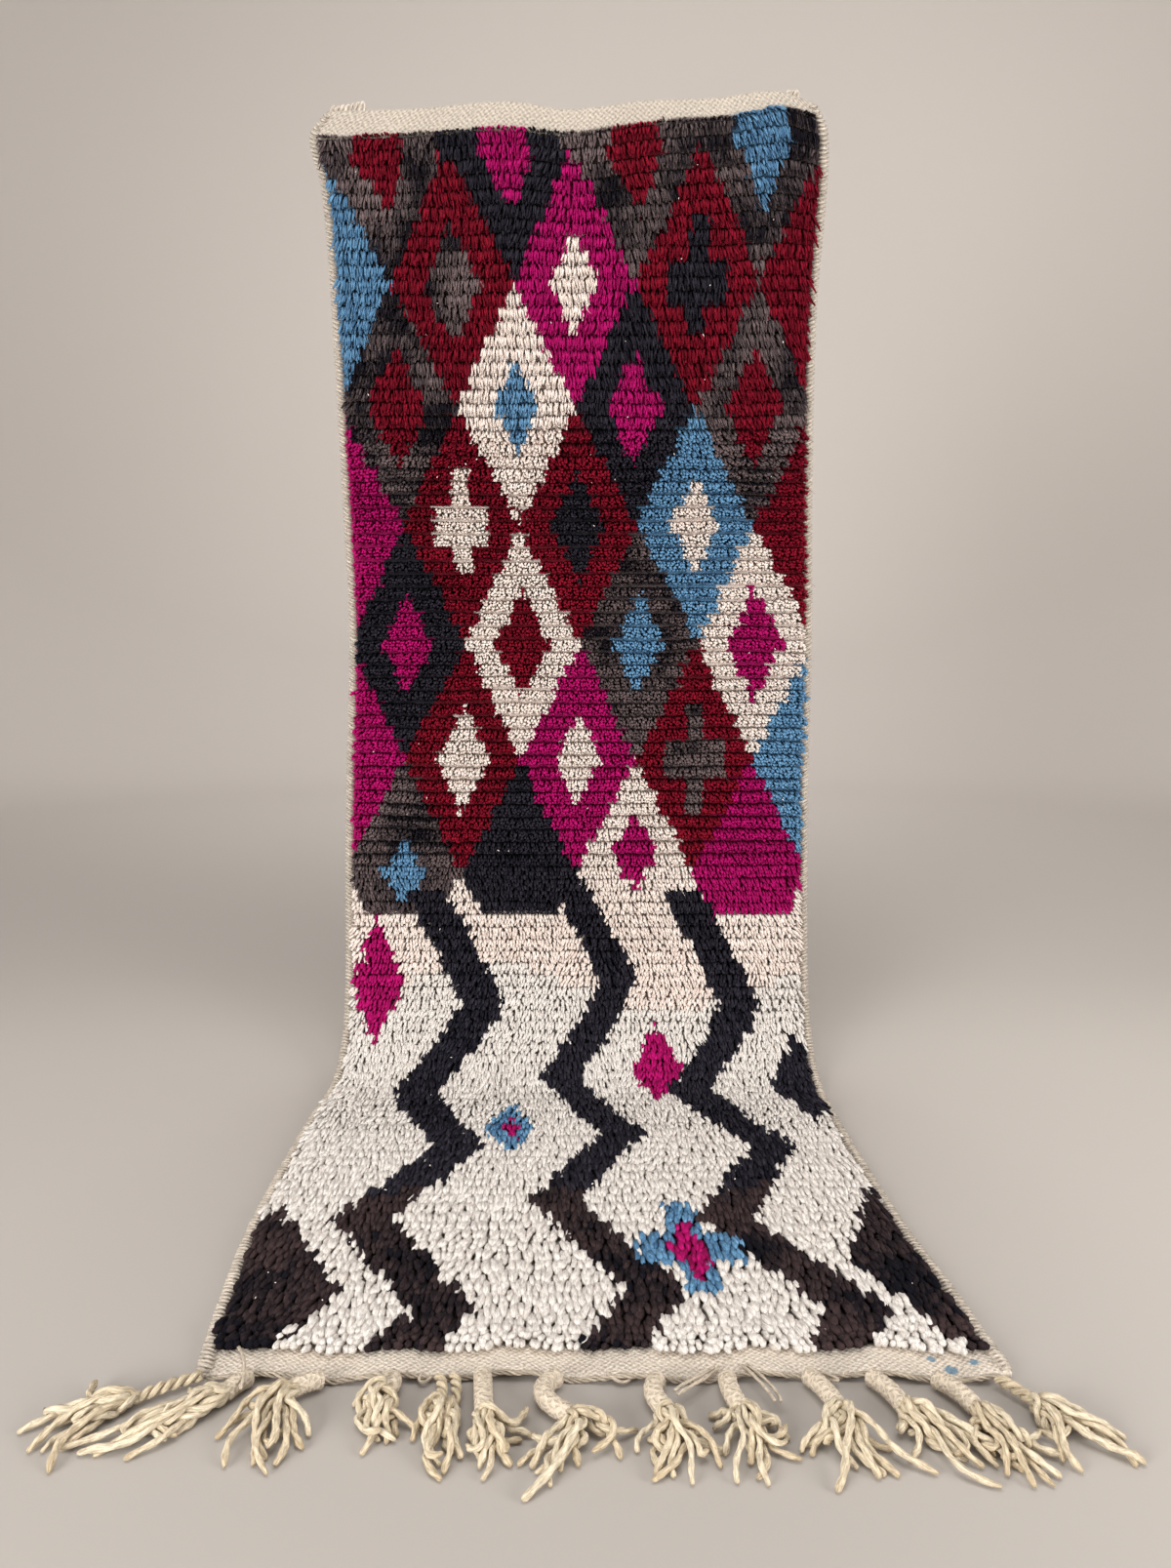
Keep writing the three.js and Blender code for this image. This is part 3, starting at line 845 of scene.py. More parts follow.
def pile_rows():
    """Every strand of the pile: where its root is, which leg of the knot it is, and its size."""
    sizes = bpy.context.scene.rug_pile
    rng = np.random.default_rng(sizes.seed)
    strands = []
    for row in range(ROWS + 1):
        at = FIRST_ROW + (LAST_ROW - FIRST_ROW) * row / ROWS
        number = next(index for index, zone in enumerate(PILE_ZONES) if at < zone["to"])
        zone = PILE_ZONES[number]
        start = PILE_ZONES[number - 1]["to"] if number else 0
        first, last = zone["thick"]
        thick = first + (last - first) * (at - start) / (zone["to"] - start)
        for leg in range(zone["legs"]):
            leg = leg - (zone["legs"] - 1) / 2
            count = int(KNOTTED_WIDTH / (thick * zone["across"]))
            step = (1 - 2 * PILE_MARGIN) / count
            across = PILE_MARGIN + step * (np.arange(count) + 0.5 + 0.33 * leg)
            across = across + rng.uniform(-0.35, 0.35, count) * step
            strands.append({
                "across": np.clip(across, PILE_MARGIN, 1 - PILE_MARGIN),
                "row": np.full(count, row),
                "at": np.full(count, at),
                "leg": np.full(count, leg),
                "below": np.full(count, leg * zone["apart"]),
                "thick": np.full(count, thick * zone["full"] * sizes.fullness),
                "zone": np.full(count, number),
            })
    return {key: np.concatenate([part[key] for part in strands]) for key in strands[0]}


def row_climb(x, row):
    """How far a row lies above its even place, because the first rows follow the uneven top edge."""
    return (0.005 + 0.012 * ease((x + 0.02) / 0.32)) * np.exp(-row / 6)


def comes(at, change):
    """From 0 to 1, how far a change has come at a place down the cloth."""
    start, length = change
    return ease((at - start) / length)


def pile_stance(at):
    """How far the pile droops at a place down the cloth, and how far it stands out to the front."""
    droop = 1 - comes(at, DROOP_GOES)
    return droop, (1 - droop) * (1 - comes(at, FACING_GOES))


def grooves(x, row):
    """From 0 to 1, how deep the groove under a stretch of a row is."""
    return ease(0.5 + soft_noise(x / 0.12 + 6, row * 0.83, 92))


def flat_x(across):
    """How far right of the middle a place on the flat cloth is."""
    return (across - 0.5) * 2 * NOMINAL_HALF


def strand_routes(pile, rng):
    """Root, bend and tip of each strand, for its own quadratic curve."""
    sizes = bpy.context.scene.rug_pile
    count = len(pile["across"])
    x = flat_x(pile["across"])
    row = pile["row"]
    row_wave = 0.0026 * soft_noise(x / 0.11 + 3, row * 0.35, 21)
    opened = 1.03 - 0.10 * grooves(x, row)
    at = pile["at"] - row_climb(x, row) + row_wave + pile["below"] * opened
    at = at + rng.normal(0, 0.0006, count)
    side, down, out = cloth_axes(pile["across"], at)
    root = cloth_point(pile["across"], at, GROUND_THICKNESS * 0.6)
    droop, facing = pile_stance(pile["at"])
    lying = comes(pile["at"], LYING_COMES)
    floor = comes(pile["at"], FLOOR_COMES)
    patch = soft_noise(x / 0.045 + 9, row * 0.55, 33)
    clump = soft_noise(x / 0.016 + 5, row * 1.0 + 0.5, 44)
    tuft_wide = TUFT_WIDE[0] + TUFT_WIDE[1] * floor
    tuft_start = 0.37 * row + 0.2 * np.sin(row * 2.4)
    tuft = (np.floor(x / tuft_wide + tuft_start) + 0.5 - tuft_start) * tuft_wide
    edge = np.clip((np.abs(x) - NOMINAL_HALF + EDGE["wide"]) / EDGE["wide"], 0, 1) * np.sign(x)
    ragged = 0.5 + 0.5 * soft_noise(x * 0 + 0.5, row * 0.9, 55)
    first = (row == 0) * np.clip(0.3 - pile["leg"], 0, 1.3)
    last = ease((row - row.max() + 2.0) / 2.0)
    lean_side = (0.0036 * patch + 0.0030 * clump + rng.normal(0, 0.0021, count)) * (1 - 0.55 * facing)
    lean_side = lean_side + (0.20 + 0.16 * droop + 0.10 * floor) * (tuft - x)
    lean_side = lean_side + edge * EDGE["spread"] * ragged ** 1.6
    lean_side = lean_side + 0.0030 * ease(x / 0.3) * (1 - lying)
    lean_down = LEAN["facing"] * facing + LEAN["droop"] * droop + 0.0020 * patch * (droop + floor)
    lean_down = lean_down + lying * (LEAN["lying"] + LEAN["floor"] * floor + 0.0030 * patch)
    lean_down = lean_down + rng.normal(0, 1, count) * (0.0008 + 0.0010 * droop + 0.0018 * floor)
    lean_down = lean_down - (LEAN["first"] + 0.0030 * clump) * first - LEAN["last"] * last
    height = sizes.height - 0.0030 * droop + rng.normal(0, 0.0010, count)
    height = height - 0.0019 * pile["leg"] ** 2 * (1 - 0.6 * floor) - 0.0010 * pile["leg"] * droop
    height = height + 0.0011 * soft_noise(x / 0.05, row * 0.4, 66)
    height = height * (1 - 0.24 * lying - 0.20 * floor) - 0.0015 * floor * pile["leg"]
    rise = out * height[:, None]
    drift = side * lean_side[:, None] + down * lean_down[:, None]
    bent = root + rise * 0.85 + drift * 0.20
    tip = root + rise * (1 - 0.15 * floor)[:, None] + drift
    return root, bent, tip, side


def stray_hairs(root, bent, tip, side, rng):
    """Fine fibres that stand away from the ends of some of the strands."""
    count = len(root)
    far = HAIRS["reach"] * rng.uniform(0.5, 1.5, (count, 1))
    ahead = unit(tip - bent)
    away = unit(ahead + rng.normal(0, 0.42, (count, 3)))
    begin = tip - ahead * 0.004
    middle = begin + ahead * far * 0.5
    return begin, middle, middle + away * far * 0.7, side


def place_strands(template, route, thick, turn):
    """Copies of the template laid along quadratic curves."""
    root, bent, tip, side = route
    points = template["points"]
    t = points[:, 2][None, :, None]
    centre = between_three(root[:, None], bent[:, None], tip[:, None], t)
    ahead = unit((1 - t) * (bent - root)[:, None] + t * (tip - bent)[:, None])
    beside = side[:, None] - ahead * np.sum(side[:, None] * ahead, -1, keepdims=True)
    beside = unit(beside)
    over = np.cross(ahead, beside)
    cosine = np.cos(turn)[:, None]
    sine = np.sin(turn)[:, None]
    u = points[None, :, 0] * cosine - points[None, :, 1] * sine
    v = points[None, :, 0] * sine + points[None, :, 1] * cosine
    size = thick[:, None]
    return centre + beside * (u * size)[..., None] + over * (v * size)[..., None]


def strand_shades(pile, yarn, rng):
    """How far each strand is from its yarn's deep colour to its bright one, with painted light where the
    pile faces the front and painted shade in the grooves between rows.
    """
    count = len(yarn)
    x = flat_x(pile["across"])
    row = pile["row"]
    runs = soft_noise(x / 0.055 + 2, row * 0.55 + 0.3, 88)
    wide_runs = soft_noise(x / 0.16 + 4, row * 0.24, 91)
    fine = soft_noise(x / 0.018 + 2, row * 1.0, 89)
    slow = soft_noise(x / 0.2 + 7, row * 0.12, 90)
    vary = np.array([YARNS[name]["vary"] for name in YARN_NAMES])[yarn]
    shade = 0.36 + 0.10 * slow + 0.07 * fine + rng.normal(0, 1, count) * vary
    charcoal, brown, cream, blue = (
        yarn == YARN_NAMES.index(name) for name in ("charcoal", "brown", "cream", "blue"))
    patches = 0.70 * runs + 0.45 * wide_runs + 0.22 * fine
    facing = pile_stance(pile["at"])[1]
    # Painted light: strands where the pile faces the front are made paler, more so in cream and blue
    shade = shade + facing * (0.16 + 0.20 * (cream | blue))
    # Painted shade: the outer strands of a row are darkened where a groove lies under it
    painted_groove_shade = grooves(x, row) * (np.abs(pile["leg"]) > 1.2)
    return shade + patches * (0.75 * charcoal + 0.65 * brown) - 0.05 * charcoal - 0.45 * painted_groove_shade


def pile_pieces():
    """The pile's meshes, one to each yarn."""
    sizes = bpy.context.scene.rug_pile
    rng = np.random.default_rng(sizes.seed + 1)
    pile = pile_rows()
    count = len(pile["across"])
    x = flat_x(pile["across"])
    root, bent, tip, side = strand_routes(pile, rng)
    jag = 0.005 * soft_noise(x / 0.030, pile["row"] * 1.7, 77) + rng.normal(0, 0.0012, count)
    yarn = yarn_at(pile["across"] + jag / (2 * NOMINAL_HALF), pile["at"])
    shade = strand_shades(pile, yarn, rng)
    templates = {
        "tuft": model_strand(3, [(0, 0.9), (0.55, 1.05), (1, 0.62)]),
        "speck": model_strand(3, [(0, 0.85), (1, 1.16)]),
        "lock": model_strand(4, [(0, 0.85), (0.55, 1.05), (1, 0.50)]),
        "grain": model_strand(5, [(0, 0.70), (0.45, 1.0), (0.86, 0.84), (0.97, 0.42)], tip=0.02),
        "hair": model_strand(3, [(0, 1.0), (0.5, 1.0), (1, 0.4)]),
    }
    turn = rng.uniform(0, 2 * math.pi, count)
    lengths = np.linalg.norm(tip - root, axis=1)
    size = pile["thick"] * rng.uniform(*STRAND_SIZES, count)
    model = np.array([zone["model"] for zone in PILE_ZONES])[pile["zone"]]
    hairy = rng.uniform(0, 1, count) < HAIRS["share"]
    pieces = {}
    for yarn_index, yarn_name in enumerate(YARN_NAMES):
        parts = []
        for name, template in templates.items():
            of_kind = hairy if name == "hair" else model == name
            pick = np.flatnonzero((yarn == yarn_index) & of_kind)
            if not len(pick):
                continue
            route = (root[pick], bent[pick], tip[pick], side[pick])
            thick = size[pick]
            light = shade[pick]
            if name == "hair":
                route = stray_hairs(*route, rng)
                thick = np.full(len(pick), HAIRS["thick"])
                # Painted highlight: the stray hairs are made paler than the strands they leave
                light = light + 0.5
            places = place_strands(template, route, thick, turn[pick])
            shape = places.shape[:2]
            along = template["points"][:, 2] if name != "hair" else np.ones(shape[1])
            values = {
                "shade": np.broadcast_to(light[:, None], shape),
                "along": np.broadcast_to(along[None, :], shape),
            }
            parts.append(joined_mesh("pile_" + yarn_name, places, template, thick, lengths[pick], values))
        if parts:
            pieces[yarn_name] = stacked("pile_" + yarn_name, parts)
    return pieces


class RUG_OT_pile(Operator):
    """Knot the pile: rows of cut strands in the design's yarns, one mesh to each yarn"""
    bl_idname = "rug.pile"
    bl_label = "Pile"

    def execute(self, context):
        for yarn, data in pile_pieces().items():
            colours = YARNS[yarn]
            material = strand_material(
                "wool_" + yarn, colours["deep"], colours["bright"], sheen=colours["sheen"],
                rough=colours["rough"], root_light=0.92 if yarn in PALE_YARNS else 0.55)
            piece = make_object(data, material)
            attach(piece, "root")
            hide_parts("pile")
            print(piece.name, triangles(piece.data), "triangles")
        return {"FINISHED"}


# Ground cloth

def ground_lines():
    ridges = FIRST_ROW + (LAST_ROW - FIRST_ROW) * np.arange(ROWS + 1) / ROWS
    half = ROW_PITCH / 2
    top = np.linspace(0, ridges[0] - half, 7)
    middle = np.stack([ridges, ridges + half], 1).ravel()
    front = np.linspace(ridges[-1] + half, CLOTH_LENGTH, 9)[1:]
    return np.concatenate([top, middle, front])


def ground_material():
    """Plain-woven undyed wool, with rows of coloured knots showing on its back, painted shade between its
    threads and under its pile, and painted light growing towards its front.
    """
    colours = bpy.context.scene.rug_colours
    material = bpy.data.materials.new("wool_ground")
    material.use_nodes = True
    tree = material.node_tree
    shader = tree.nodes["Principled BSDF"]
    set_inputs(shader, Roughness=0.9, Sheen_Weight=0.25, Sheen_Roughness=0.5)
    shader.inputs["Specular IOR Level"].default_value = 0.2
    shader.inputs["Sheen Tint"].default_value = (*colours.ground, 1)
    flat = add_node(tree, "Attribute", "Place on the flat cloth", attribute_name="flat")
    split = add_node(tree, "SeparateXYZ", "Across and down")
    wire(flat, "Vector", split, 0)
    weave = add_node(tree, "Group", "Plain weave", node_tree=plain_weave_group())
    set_inputs(weave, Warp_Pitch=WARP_PITCH, Weft_Pitch=WEFT_PITCH)
    finer = range_node(
        tree, "Finer nubs on the front band", LAST_ROW - 0.02, LAST_ROW, 1.0, FRONT_NUBS_FINER)
    nubs = math_node(tree, "Nub places", "SCALE", vector=True)
    wire(split, "Y", finer, "Value")
    wire(flat, "Vector", nubs, 0)
    wire(finer, "Result", nubs, "Scale")
    wire(nubs, "Vector", weave, "Vector")
    wander = add_node(tree, "TexNoise", "Uneven wool")
    set_inputs(wander, Scale=14.0, Detail=4.0)
    wire(flat, "Vector", wander, "Vector")
    undyed = add_node(tree, "Mix", "Undyed wool", data_type="RGBA")
    undyed.inputs["A"].default_value = (*scaled(colours.ground, 0.84), 1)
    undyed.inputs["B"].default_value = (*scaled(colours.ground, 1.13), 1)
    wire(wander, "Fac", undyed, "Factor")
    # Painted shade between the threads of the weave, darker where the nubs are low
    hollow = add_node(tree, "Mix", "Darker between the threads", data_type="RGBA",
                      blend_type="MULTIPLY")
    hollow.inputs["Factor"].default_value = 1.0
    thread = range_node(tree, "Thread tone", 0.0, 1.0, 0.52, 1.14)
    # Painted light: the ground grows paler down the cloth, brighter at the front band and dimmer at the
    # top band
    painted_light_to_front = range_node(tree, "Paler at the front", 0.0, CLOTH_LENGTH, 0.84, 1.29)
    painted_light_and_shade = math_node(tree, "Tone", "MULTIPLY")
    wire(split, "Y", painted_light_to_front, "Value")
    wire(weave, "Height", thread, "Value")
    wire(thread, "Result", painted_light_and_shade, 0)
    wire(painted_light_to_front, "Result", painted_light_and_shade, 1)
    wire(undyed, "Result", hollow, "A")
    wire(painted_light_and_shade, 0, hollow, "B")
    knots = add_node(tree, "Attribute", "Knot colour", attribute_name="knot")
    back = add_node(tree, "Attribute", "Back side", attribute_name="back")
    rows = add_node(tree, "Group", "Knot rows", node_tree=knot_rows_group())
    wire(flat, "Vector", rows, "Vector")
    wire(back, "Fac", rows, "Back")
    dyed = add_node(tree, "Mix", "Knots over wefts", data_type="RGBA")
    wire(rows, "Mask", dyed, "Factor")
    wire(hollow, "Result", dyed, "A")
    wire(knots, "Color", dyed, "B")
    # Where the pile covers the face, the knots' roots show in painted shade, their colour darkened under
    # the pile
    under = add_node(tree, "Attribute", "Under the pile", attribute_name="under")
    knot_roots_in_painted_shade = math_node(tree, "Roots of the knots", "SCALE", 0.72, place="Scale", vector=True)
    covered = add_node(tree, "Mix", "Knots cover the face", data_type="RGBA")
    wire(knots, "Color", knot_roots_in_painted_shade, 0)
    wire(under, "Fac", covered, "Factor")
    wire(dyed, "Result", covered, "A")
    wire(knot_roots_in_painted_shade, "Vector", covered, "B")
    stained = add_node(tree, "Mix", "Spots of blue dye", data_type="RGBA")
    stained.inputs["B"].default_value = (*SPOT_COLOUR, 1)
    tree.links.new(dye_spots(tree, flat), stained.inputs["Factor"])
    wire(covered, "Result", stained, "A")
    wire(stained, "Result", shader, "Base Color")
    total = math_node(tree, "Threads and knots", "MULTIPLY_ADD", 1.4)
    wire(rows, "Mask", total, 0)
    wire(weave, "Height", total, 2)
    relief = add_node(tree, "Bump", "Thread relief")
    set_inputs(relief, Strength=0.9, Distance=0.0011)
    wire(total, 0, relief, "Height")
    wire(relief, "Normal", shader, "Normal")
    return material


def dye_spots(tree, flat):
    """A mask of the few spots of dye on the front band."""
    ragged = add_node(tree, "TexNoise", "Ragged spots")
    set_inputs(ragged, Scale=260.0, Detail=2.0)
    wire(flat, "Vector", ragged, "Vector")
    mask = None
    for x, at, radius in DYE_SPOTS:
        distance = math_node(tree, "From the spot", "DISTANCE", (x, at, 0), vector=True)
        wire(flat, "Vector", distance, 0)
        uneven = math_node(tree, "Uneven edge", "MULTIPLY_ADD", radius)
        wire(ragged, "Fac", uneven, 0)
        wire(distance, "Value", uneven, 2)
        spot = range_node(
            tree, "Spot", radius * 1.1, radius * 1.5, 0.85, 0.0, interpolation_type="SMOOTHSTEP")
        wire(uneven, 0, spot, "Value")
        if mask:
            joined = math_node(tree, "Any spot", "MAXIMUM")
            tree.links.new(mask, joined.inputs[0])
            wire(spot, "Result", joined, 1)
            mask = joined.outputs[0]
        else:
            mask = spot.outputs["Result"]
    return mask


@built_once
def plain_weave_group(name):
    """Nubs of a plain weave over the flat cloth."""
    tree, entry, exit_node = new_group(
        name, {"Vector": "Vector", "Warp Pitch": "Float", "Weft Pitch": "Float"}, {"Height": "Float"})
    wobble = add_node(tree, "TexNoise", "Uneven threads")
    set_inputs(wobble, Scale=150.0, Detail=3.0)
    shift = math_node(tree, "Shift the threads", "MULTIPLY_ADD", (0.0070, 0.0060, 0), vector=True)
    split = add_node(tree, "SeparateXYZ", "Across and down")
    wire(entry, "Vector", wobble, "Vector")
    wire(wobble, "Color", shift, 0)
    wire(entry, "Vector", shift, 2)
    wire(shift, "Vector", split, 0)
    waves = []
    for axis, pitch in (("X", "Warp Pitch"), ("Y", "Weft Pitch")):
        count = math_node(tree, "Threads " + axis, "DIVIDE")
        wire(split, axis, count, 0)
        wire(entry, pitch, count, 1)
        angle = math_node(tree, "Turn " + axis, "MULTIPLY", 2 * math.pi)
        wire(count, 0, angle, 0)
        wave = math_node(tree, "Wave " + axis, "SINE")
        wire(angle, 0, wave, 0)
        waves.append(wave)
    nubs = math_node(tree, "Nubs", "MULTIPLY")
    wire(waves[0], 0, nubs, 0)
    wire(waves[1], 0, nubs, 1)
    pebbles = add_node(tree, "TexNoise", "Pebbly wool")
    set_inputs(pebbles, Scale=330.0, Detail=2.0)
    wire(entry, "Vector", pebbles, "Vector")
    pebbly = math_node(tree, "Nubs and pebbles", "MULTIPLY_ADD", 4.5)
    wire(pebbles, "Fac", pebbly, 0)
    wire(nubs, 0, pebbly, 2)
    height = range_node(tree, "Height", 0.9, 3.6)
    wire(pebbly, 0, height, "Value")
    wire(height, "Result", exit_node, "Height")
    return tree


@built_once
def knot_rows_group(name):
    """Where the back shows a knot's two bumps, row by row."""
    tree, entry, exit_node = new_group(name, {"Vector": "Vector", "Back": "Float"}, {"Mask": "Float"})
    split = add_node(tree, "SeparateXYZ", "Across and down")
    wire(entry, "Vector", split, 0)
    masks = []
    for axis, start, step, narrow, wide in (
        ("Y", FIRST_ROW, TRUE_PITCH, 0.14, 0.19), ("X", 0.0, KNOT_PITCH, 0.38, 0.47)
    ):
        place = math_node(tree, "From the first " + axis, "SUBTRACT", start - step / 2)
        wire(split, axis, place, 0)
        count = math_node(tree, "Count " + axis, "DIVIDE", step)
        wire(place, 0, count, 0)
        part = math_node(tree, "Part " + axis, "FRACT")
        wire(count, 0, part, 0)
        middle = math_node(tree, "From the middle " + axis, "SUBTRACT", 0.5)
        wire(part, 0, middle, 0)
        size = math_node(tree, "Distance " + axis, "ABSOLUTE")
        wire(middle, 0, size, 0)
        mask = range_node(
            tree, "Mask " + axis, narrow, wide, 1.0, 0.0, interpolation_type="SMOOTHSTEP")
        wire(size, 0, mask, "Value")
        masks.append(mask)
    both = math_node(tree, "Knots", "MULTIPLY")
    wire(masks[0], "Result", both, 0)
    wire(masks[1], "Result", both, 1)
    behind = math_node(tree, "On the back", "MULTIPLY")
    wire(both, 0, behind, 0)
    wire(entry, "Back", behind, 1)
    wire(behind, 0, exit_node, "Mask")
    return tree


class RUG_OT_ground(Operator):
    """Weave the ground cloth: a closed sheet with its two flat bands and side edges"""
    bl_idname = "rug.ground"
    bl_label = "Ground cloth"

    def execute(self, context):
        inner = np.linspace(SELVEDGE_SHARE, 1 - SELVEDGE_SHARE, GROUND_COLUMNS)
        columns = np.concatenate([[0, 0.006], inner, [0.994, 1]])
        lines = ground_lines()
        start_modelling()
        bpy.ops.mesh.primitive_grid_add(
            x_subdivisions=len(columns) - 1, y_subdivisions=len(lines) - 1, size=1)
        piece = context.object
        piece.name = piece.data.name = "woven_ground"
        mesh = piece.data
        spots = read_points(mesh)
        if len(spots) != len(columns) * len(lines):
            raise RuntimeError("the ground's grid has another number of points than was asked for")
        column = np.round((spots[:, 0] + 0.5) * (len(columns) - 1)).astype(int)
        line = np.round((0.5 - spots[:, 1]) * (len(lines) - 1)).astype(int)
        across = columns[column]
        at = lines[line]
        set_points(mesh, cloth_point(across, at, 0))
        solidify = piece.modifiers.new("Thickness", "SOLIDIFY")
        solidify.thickness = GROUND_THICKNESS
        solidify.offset = 1
        solidify.use_even_offset = True
        bpy.ops.object.modifier_apply(modifier=solidify.name)
        count = len(mesh.vertices)
        across = np.tile(across, 2)
        at = np.tile(at, 2)
        points = read_points(mesh)
        _, _, out = cloth_axes(across, at)
        off = np.sum((points - cloth_point(across, at, 0)) * out, axis=1)
        behind = off < GROUND_THICKNESS / 2
        ridge = np.abs((at - FIRST_ROW) / TRUE_PITCH % 1 - 0.5) * 2
        on_pile = (at > FIRST_ROW - ROW_PITCH / 2) & (at < LAST_ROW + ROW_PITCH / 2)
        hollow = 0.0008 * (1 - ridge) * on_pile * behind
        set_points(mesh, points + out * hollow[:, None])
        flat = mesh.attributes.new("flat", "FLOAT_VECTOR", "POINT")
        place = np.stack([across * CLOTH_WIDTH, at, np.zeros(count)], -1)
        flat.data.foreach_set("vector", place.astype(np.float32).ravel())
        point_values(mesh, "back", behind & on_pile)
        inside = (across > SELVEDGE_SHARE - 1e-4) & (across < 1 - SELVEDGE_SHARE + 1e-4)
        highest = FIRST_ROW - row_climb(flat_x(across), 0) - 0.0045
        covered = (at > highest) & (at < LAST_ROW + ROW_PITCH / 2)
        point_values(mesh, "under", ~behind & covered & inside)
        corners, starts = read_faces(mesh)
        totals = np.diff(np.append(starts, len(corners)))
        face = np.repeat(np.arange(len(starts)), totals)
        sums = np.zeros((len(starts), 2))
        np.add.at(sums, face, np.stack([across[corners], at[corners]], -1))
        middle = sums / totals[:, None]
        row = np.clip(np.round((middle[:, 1] - FIRST_ROW) / TRUE_PITCH), 0, ROWS)
        yarn = yarn_at(middle[:, 0], FIRST_ROW + row * TRUE_PITCH)
        palette = np.array([np.array(YARNS[name]["deep"]) * 0.5 + np.array(YARNS[name]["bright"]) * 0.5
                            for name in YARN_NAMES])
        colour = np.concatenate([palette[yarn], np.ones((len(yarn), 1))], 1)
        knot = mesh.color_attributes.new("knot", "FLOAT_COLOR", "CORNER")
        knot.data.foreach_set("color", colour[face].astype(np.float32).ravel())
        bake = mesh.uv_layers.new(name="OFBake")
        face_behind = np.zeros(len(starts))
        np.add.at(face_behind, face, behind[corners].astype(float))
        shift = np.where(face_behind / totals > 0.5, 0.51, 0.01)[face]
        uv = np.stack([shift + across[corners] * 0.48, 0.01 + 0.98 * at[corners] / CLOTH_LENGTH], -1)
        bake.data.foreach_set("uv", uv.astype(np.float32).ravel())
        mesh.update()
        mesh.shade_smooth()
        mesh.materials.append(ground_material())
        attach(piece, "root")
        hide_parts("ground_cloth")
        print(piece.name, triangles(mesh), "triangles")
        return {"FINISHED"}


# Cords and fringe

def along_path(path, count):
    """Evenly spaced points along a line of points."""
    gaps = np.linalg.norm(np.diff(path, axis=0), axis=1)
    run = np.concatenate([[0], np.cumsum(gaps)])
    stops = np.linspace(0, run[-1], count)
    return np.stack([np.interp(stops, run, path[:, axis]) for axis in range(3)], -1), run[-1]


def lay_on_path(template, path, thick, start_turn):
    """A template strand laid along a path, without twisting as the path turns."""
    heights = np.unique(np.round(template["points"][:, 2], 5))
    stops, length = along_path(path, 240)
    spots = np.stack([np.interp(heights, np.linspace(0, 1, 240), stops[:, axis]) for axis in range(3)], -1)
    ahead = unit(np.gradient(spots, axis=0))
    side = np.cross(ahead[0], (0.13, 0.21, 0.97))
    sides = []
    for direction in ahead:
        side = side - direction * side.dot(direction)
        side = side / np.linalg.norm(side)
        sides.append(side)
    sides = np.array(sides)
    tops = np.cross(ahead, sides)
    ring = np.searchsorted(heights, np.round(template["points"][:, 2], 5))
    u, v = template["points"][:, 0], template["points"][:, 1]
    cosine, sine = math.cos(start_turn), math.sin(start_turn)
    place = spots[ring] + sides[ring] * ((u * cosine - v * sine) * thick)[:, None]
    return place + tops[ring] * ((u * sine + v * cosine) * thick)[:, None], length


def cords_mesh(name, template, cords, rng, plait=0.0, dirty_tip=0.0):
    """One mesh of many cords. Each cord has a path, a thickness and a shade."""
    places, lengths = [], []
    for cord in cords:
        place, length = lay_on_path(template, cord["path"], cord["thick"], rng.uniform(0, 6.28))
        places.append(place)
        lengths.append(length)
    places = np.array(places)
    thick = np.array([cord["thick"] for cord in cords])
    shades = np.array([cord["shade"] for cord in cords])
    shape = places.shape[:2]
    along = np.broadcast_to(template["points"][:, 2][None, :], shape)
    values = {
        "shade": shades[:, None] - dirty_tip * along ** 8,
        # Along cords the painted root shade is kept weak
        "along": 0.6 + 0.4 * along,
        "plait": np.full(shape, plait),
    }
    return joined_mesh(name, places, template, thick, np.array(lengths), values)


def between_three(begin, middle, end, t):
    """Places on a quadratic curve."""
    return (1 - t) ** 2 * begin + 2 * t * (1 - t) * middle + t ** 2 * end


def curve_points(controls, count):
    """A smooth line through four control points."""
    t = np.linspace(0, 1, count)[:, None]
    a, b, c, d = controls
    return (1 - t) ** 3 * a + 3 * t * (1 - t) ** 2 * b + 3 * t ** 2 * (1 - t) * c + t ** 3 * d


def rope_paths(centre_line, radius, pitch, plies):
    """Plies of a rope twisted about a centre line."""
    stops, length = along_path(centre_line, 90)
    ahead = unit(np.gradient(stops, axis=0))
    side = unit(np.cross(ahead, (0, 0, 1)))
    top = np.cross(side, ahead)
    run = np.linspace(0, length, 90)
    paths = []
    for ply in range(plies):
        angle = 2 * math.pi * (run / pitch + ply / plies)
        aside = side * (radius * np.cos(angle))[:, None]
        paths.append(stops + aside + top * (radius * np.sin(angle))[:, None])
    return paths


def push_apart(paths, thick, rounds):
    """Moves the strands of one tassel off each other and off the floor, their starts held."""
    count, length, _ = paths.shape
    points = paths.reshape(-1, 3).copy()
    owner = np.repeat(np.arange(count), length)
    held = np.tile(np.arange(length) < 3, count)
    apart = thick * 0.86
    for _ in range(rounds):
        gap = points[:, None] - points[None]
        distance = np.linalg.norm(gap, axis=-1) + 1e-9
        close = (distance < apart) & (owner[:, None] != owner[None])
        push = np.where(close, (apart - distance) / distance, 0)[..., None] * gap
        move = push.sum(1) * 0.22
        move[held] = 0
        points = points + move
        points[:, 2] = np.maximum(points[:, 2], thick / 2)
        line = points.reshape(count, length, 3)
        smooth = line.copy()
        smooth[:, 1:-1] = (line[:, :-2] + 2 * line[:, 1:-1] + line[:, 2:]) / 4
        line[:, 3:] = 0.6 * line[:, 3:] + 0.4 * smooth[:, 3:]
        points = line.reshape(-1, 3)
    return points.reshape(count, length, 3)


def front_place(x, out, height):
    """A place about the front edge, "out" metres in front of it."""
    return np.array([x, FRONT_EDGE_Y - out, height])


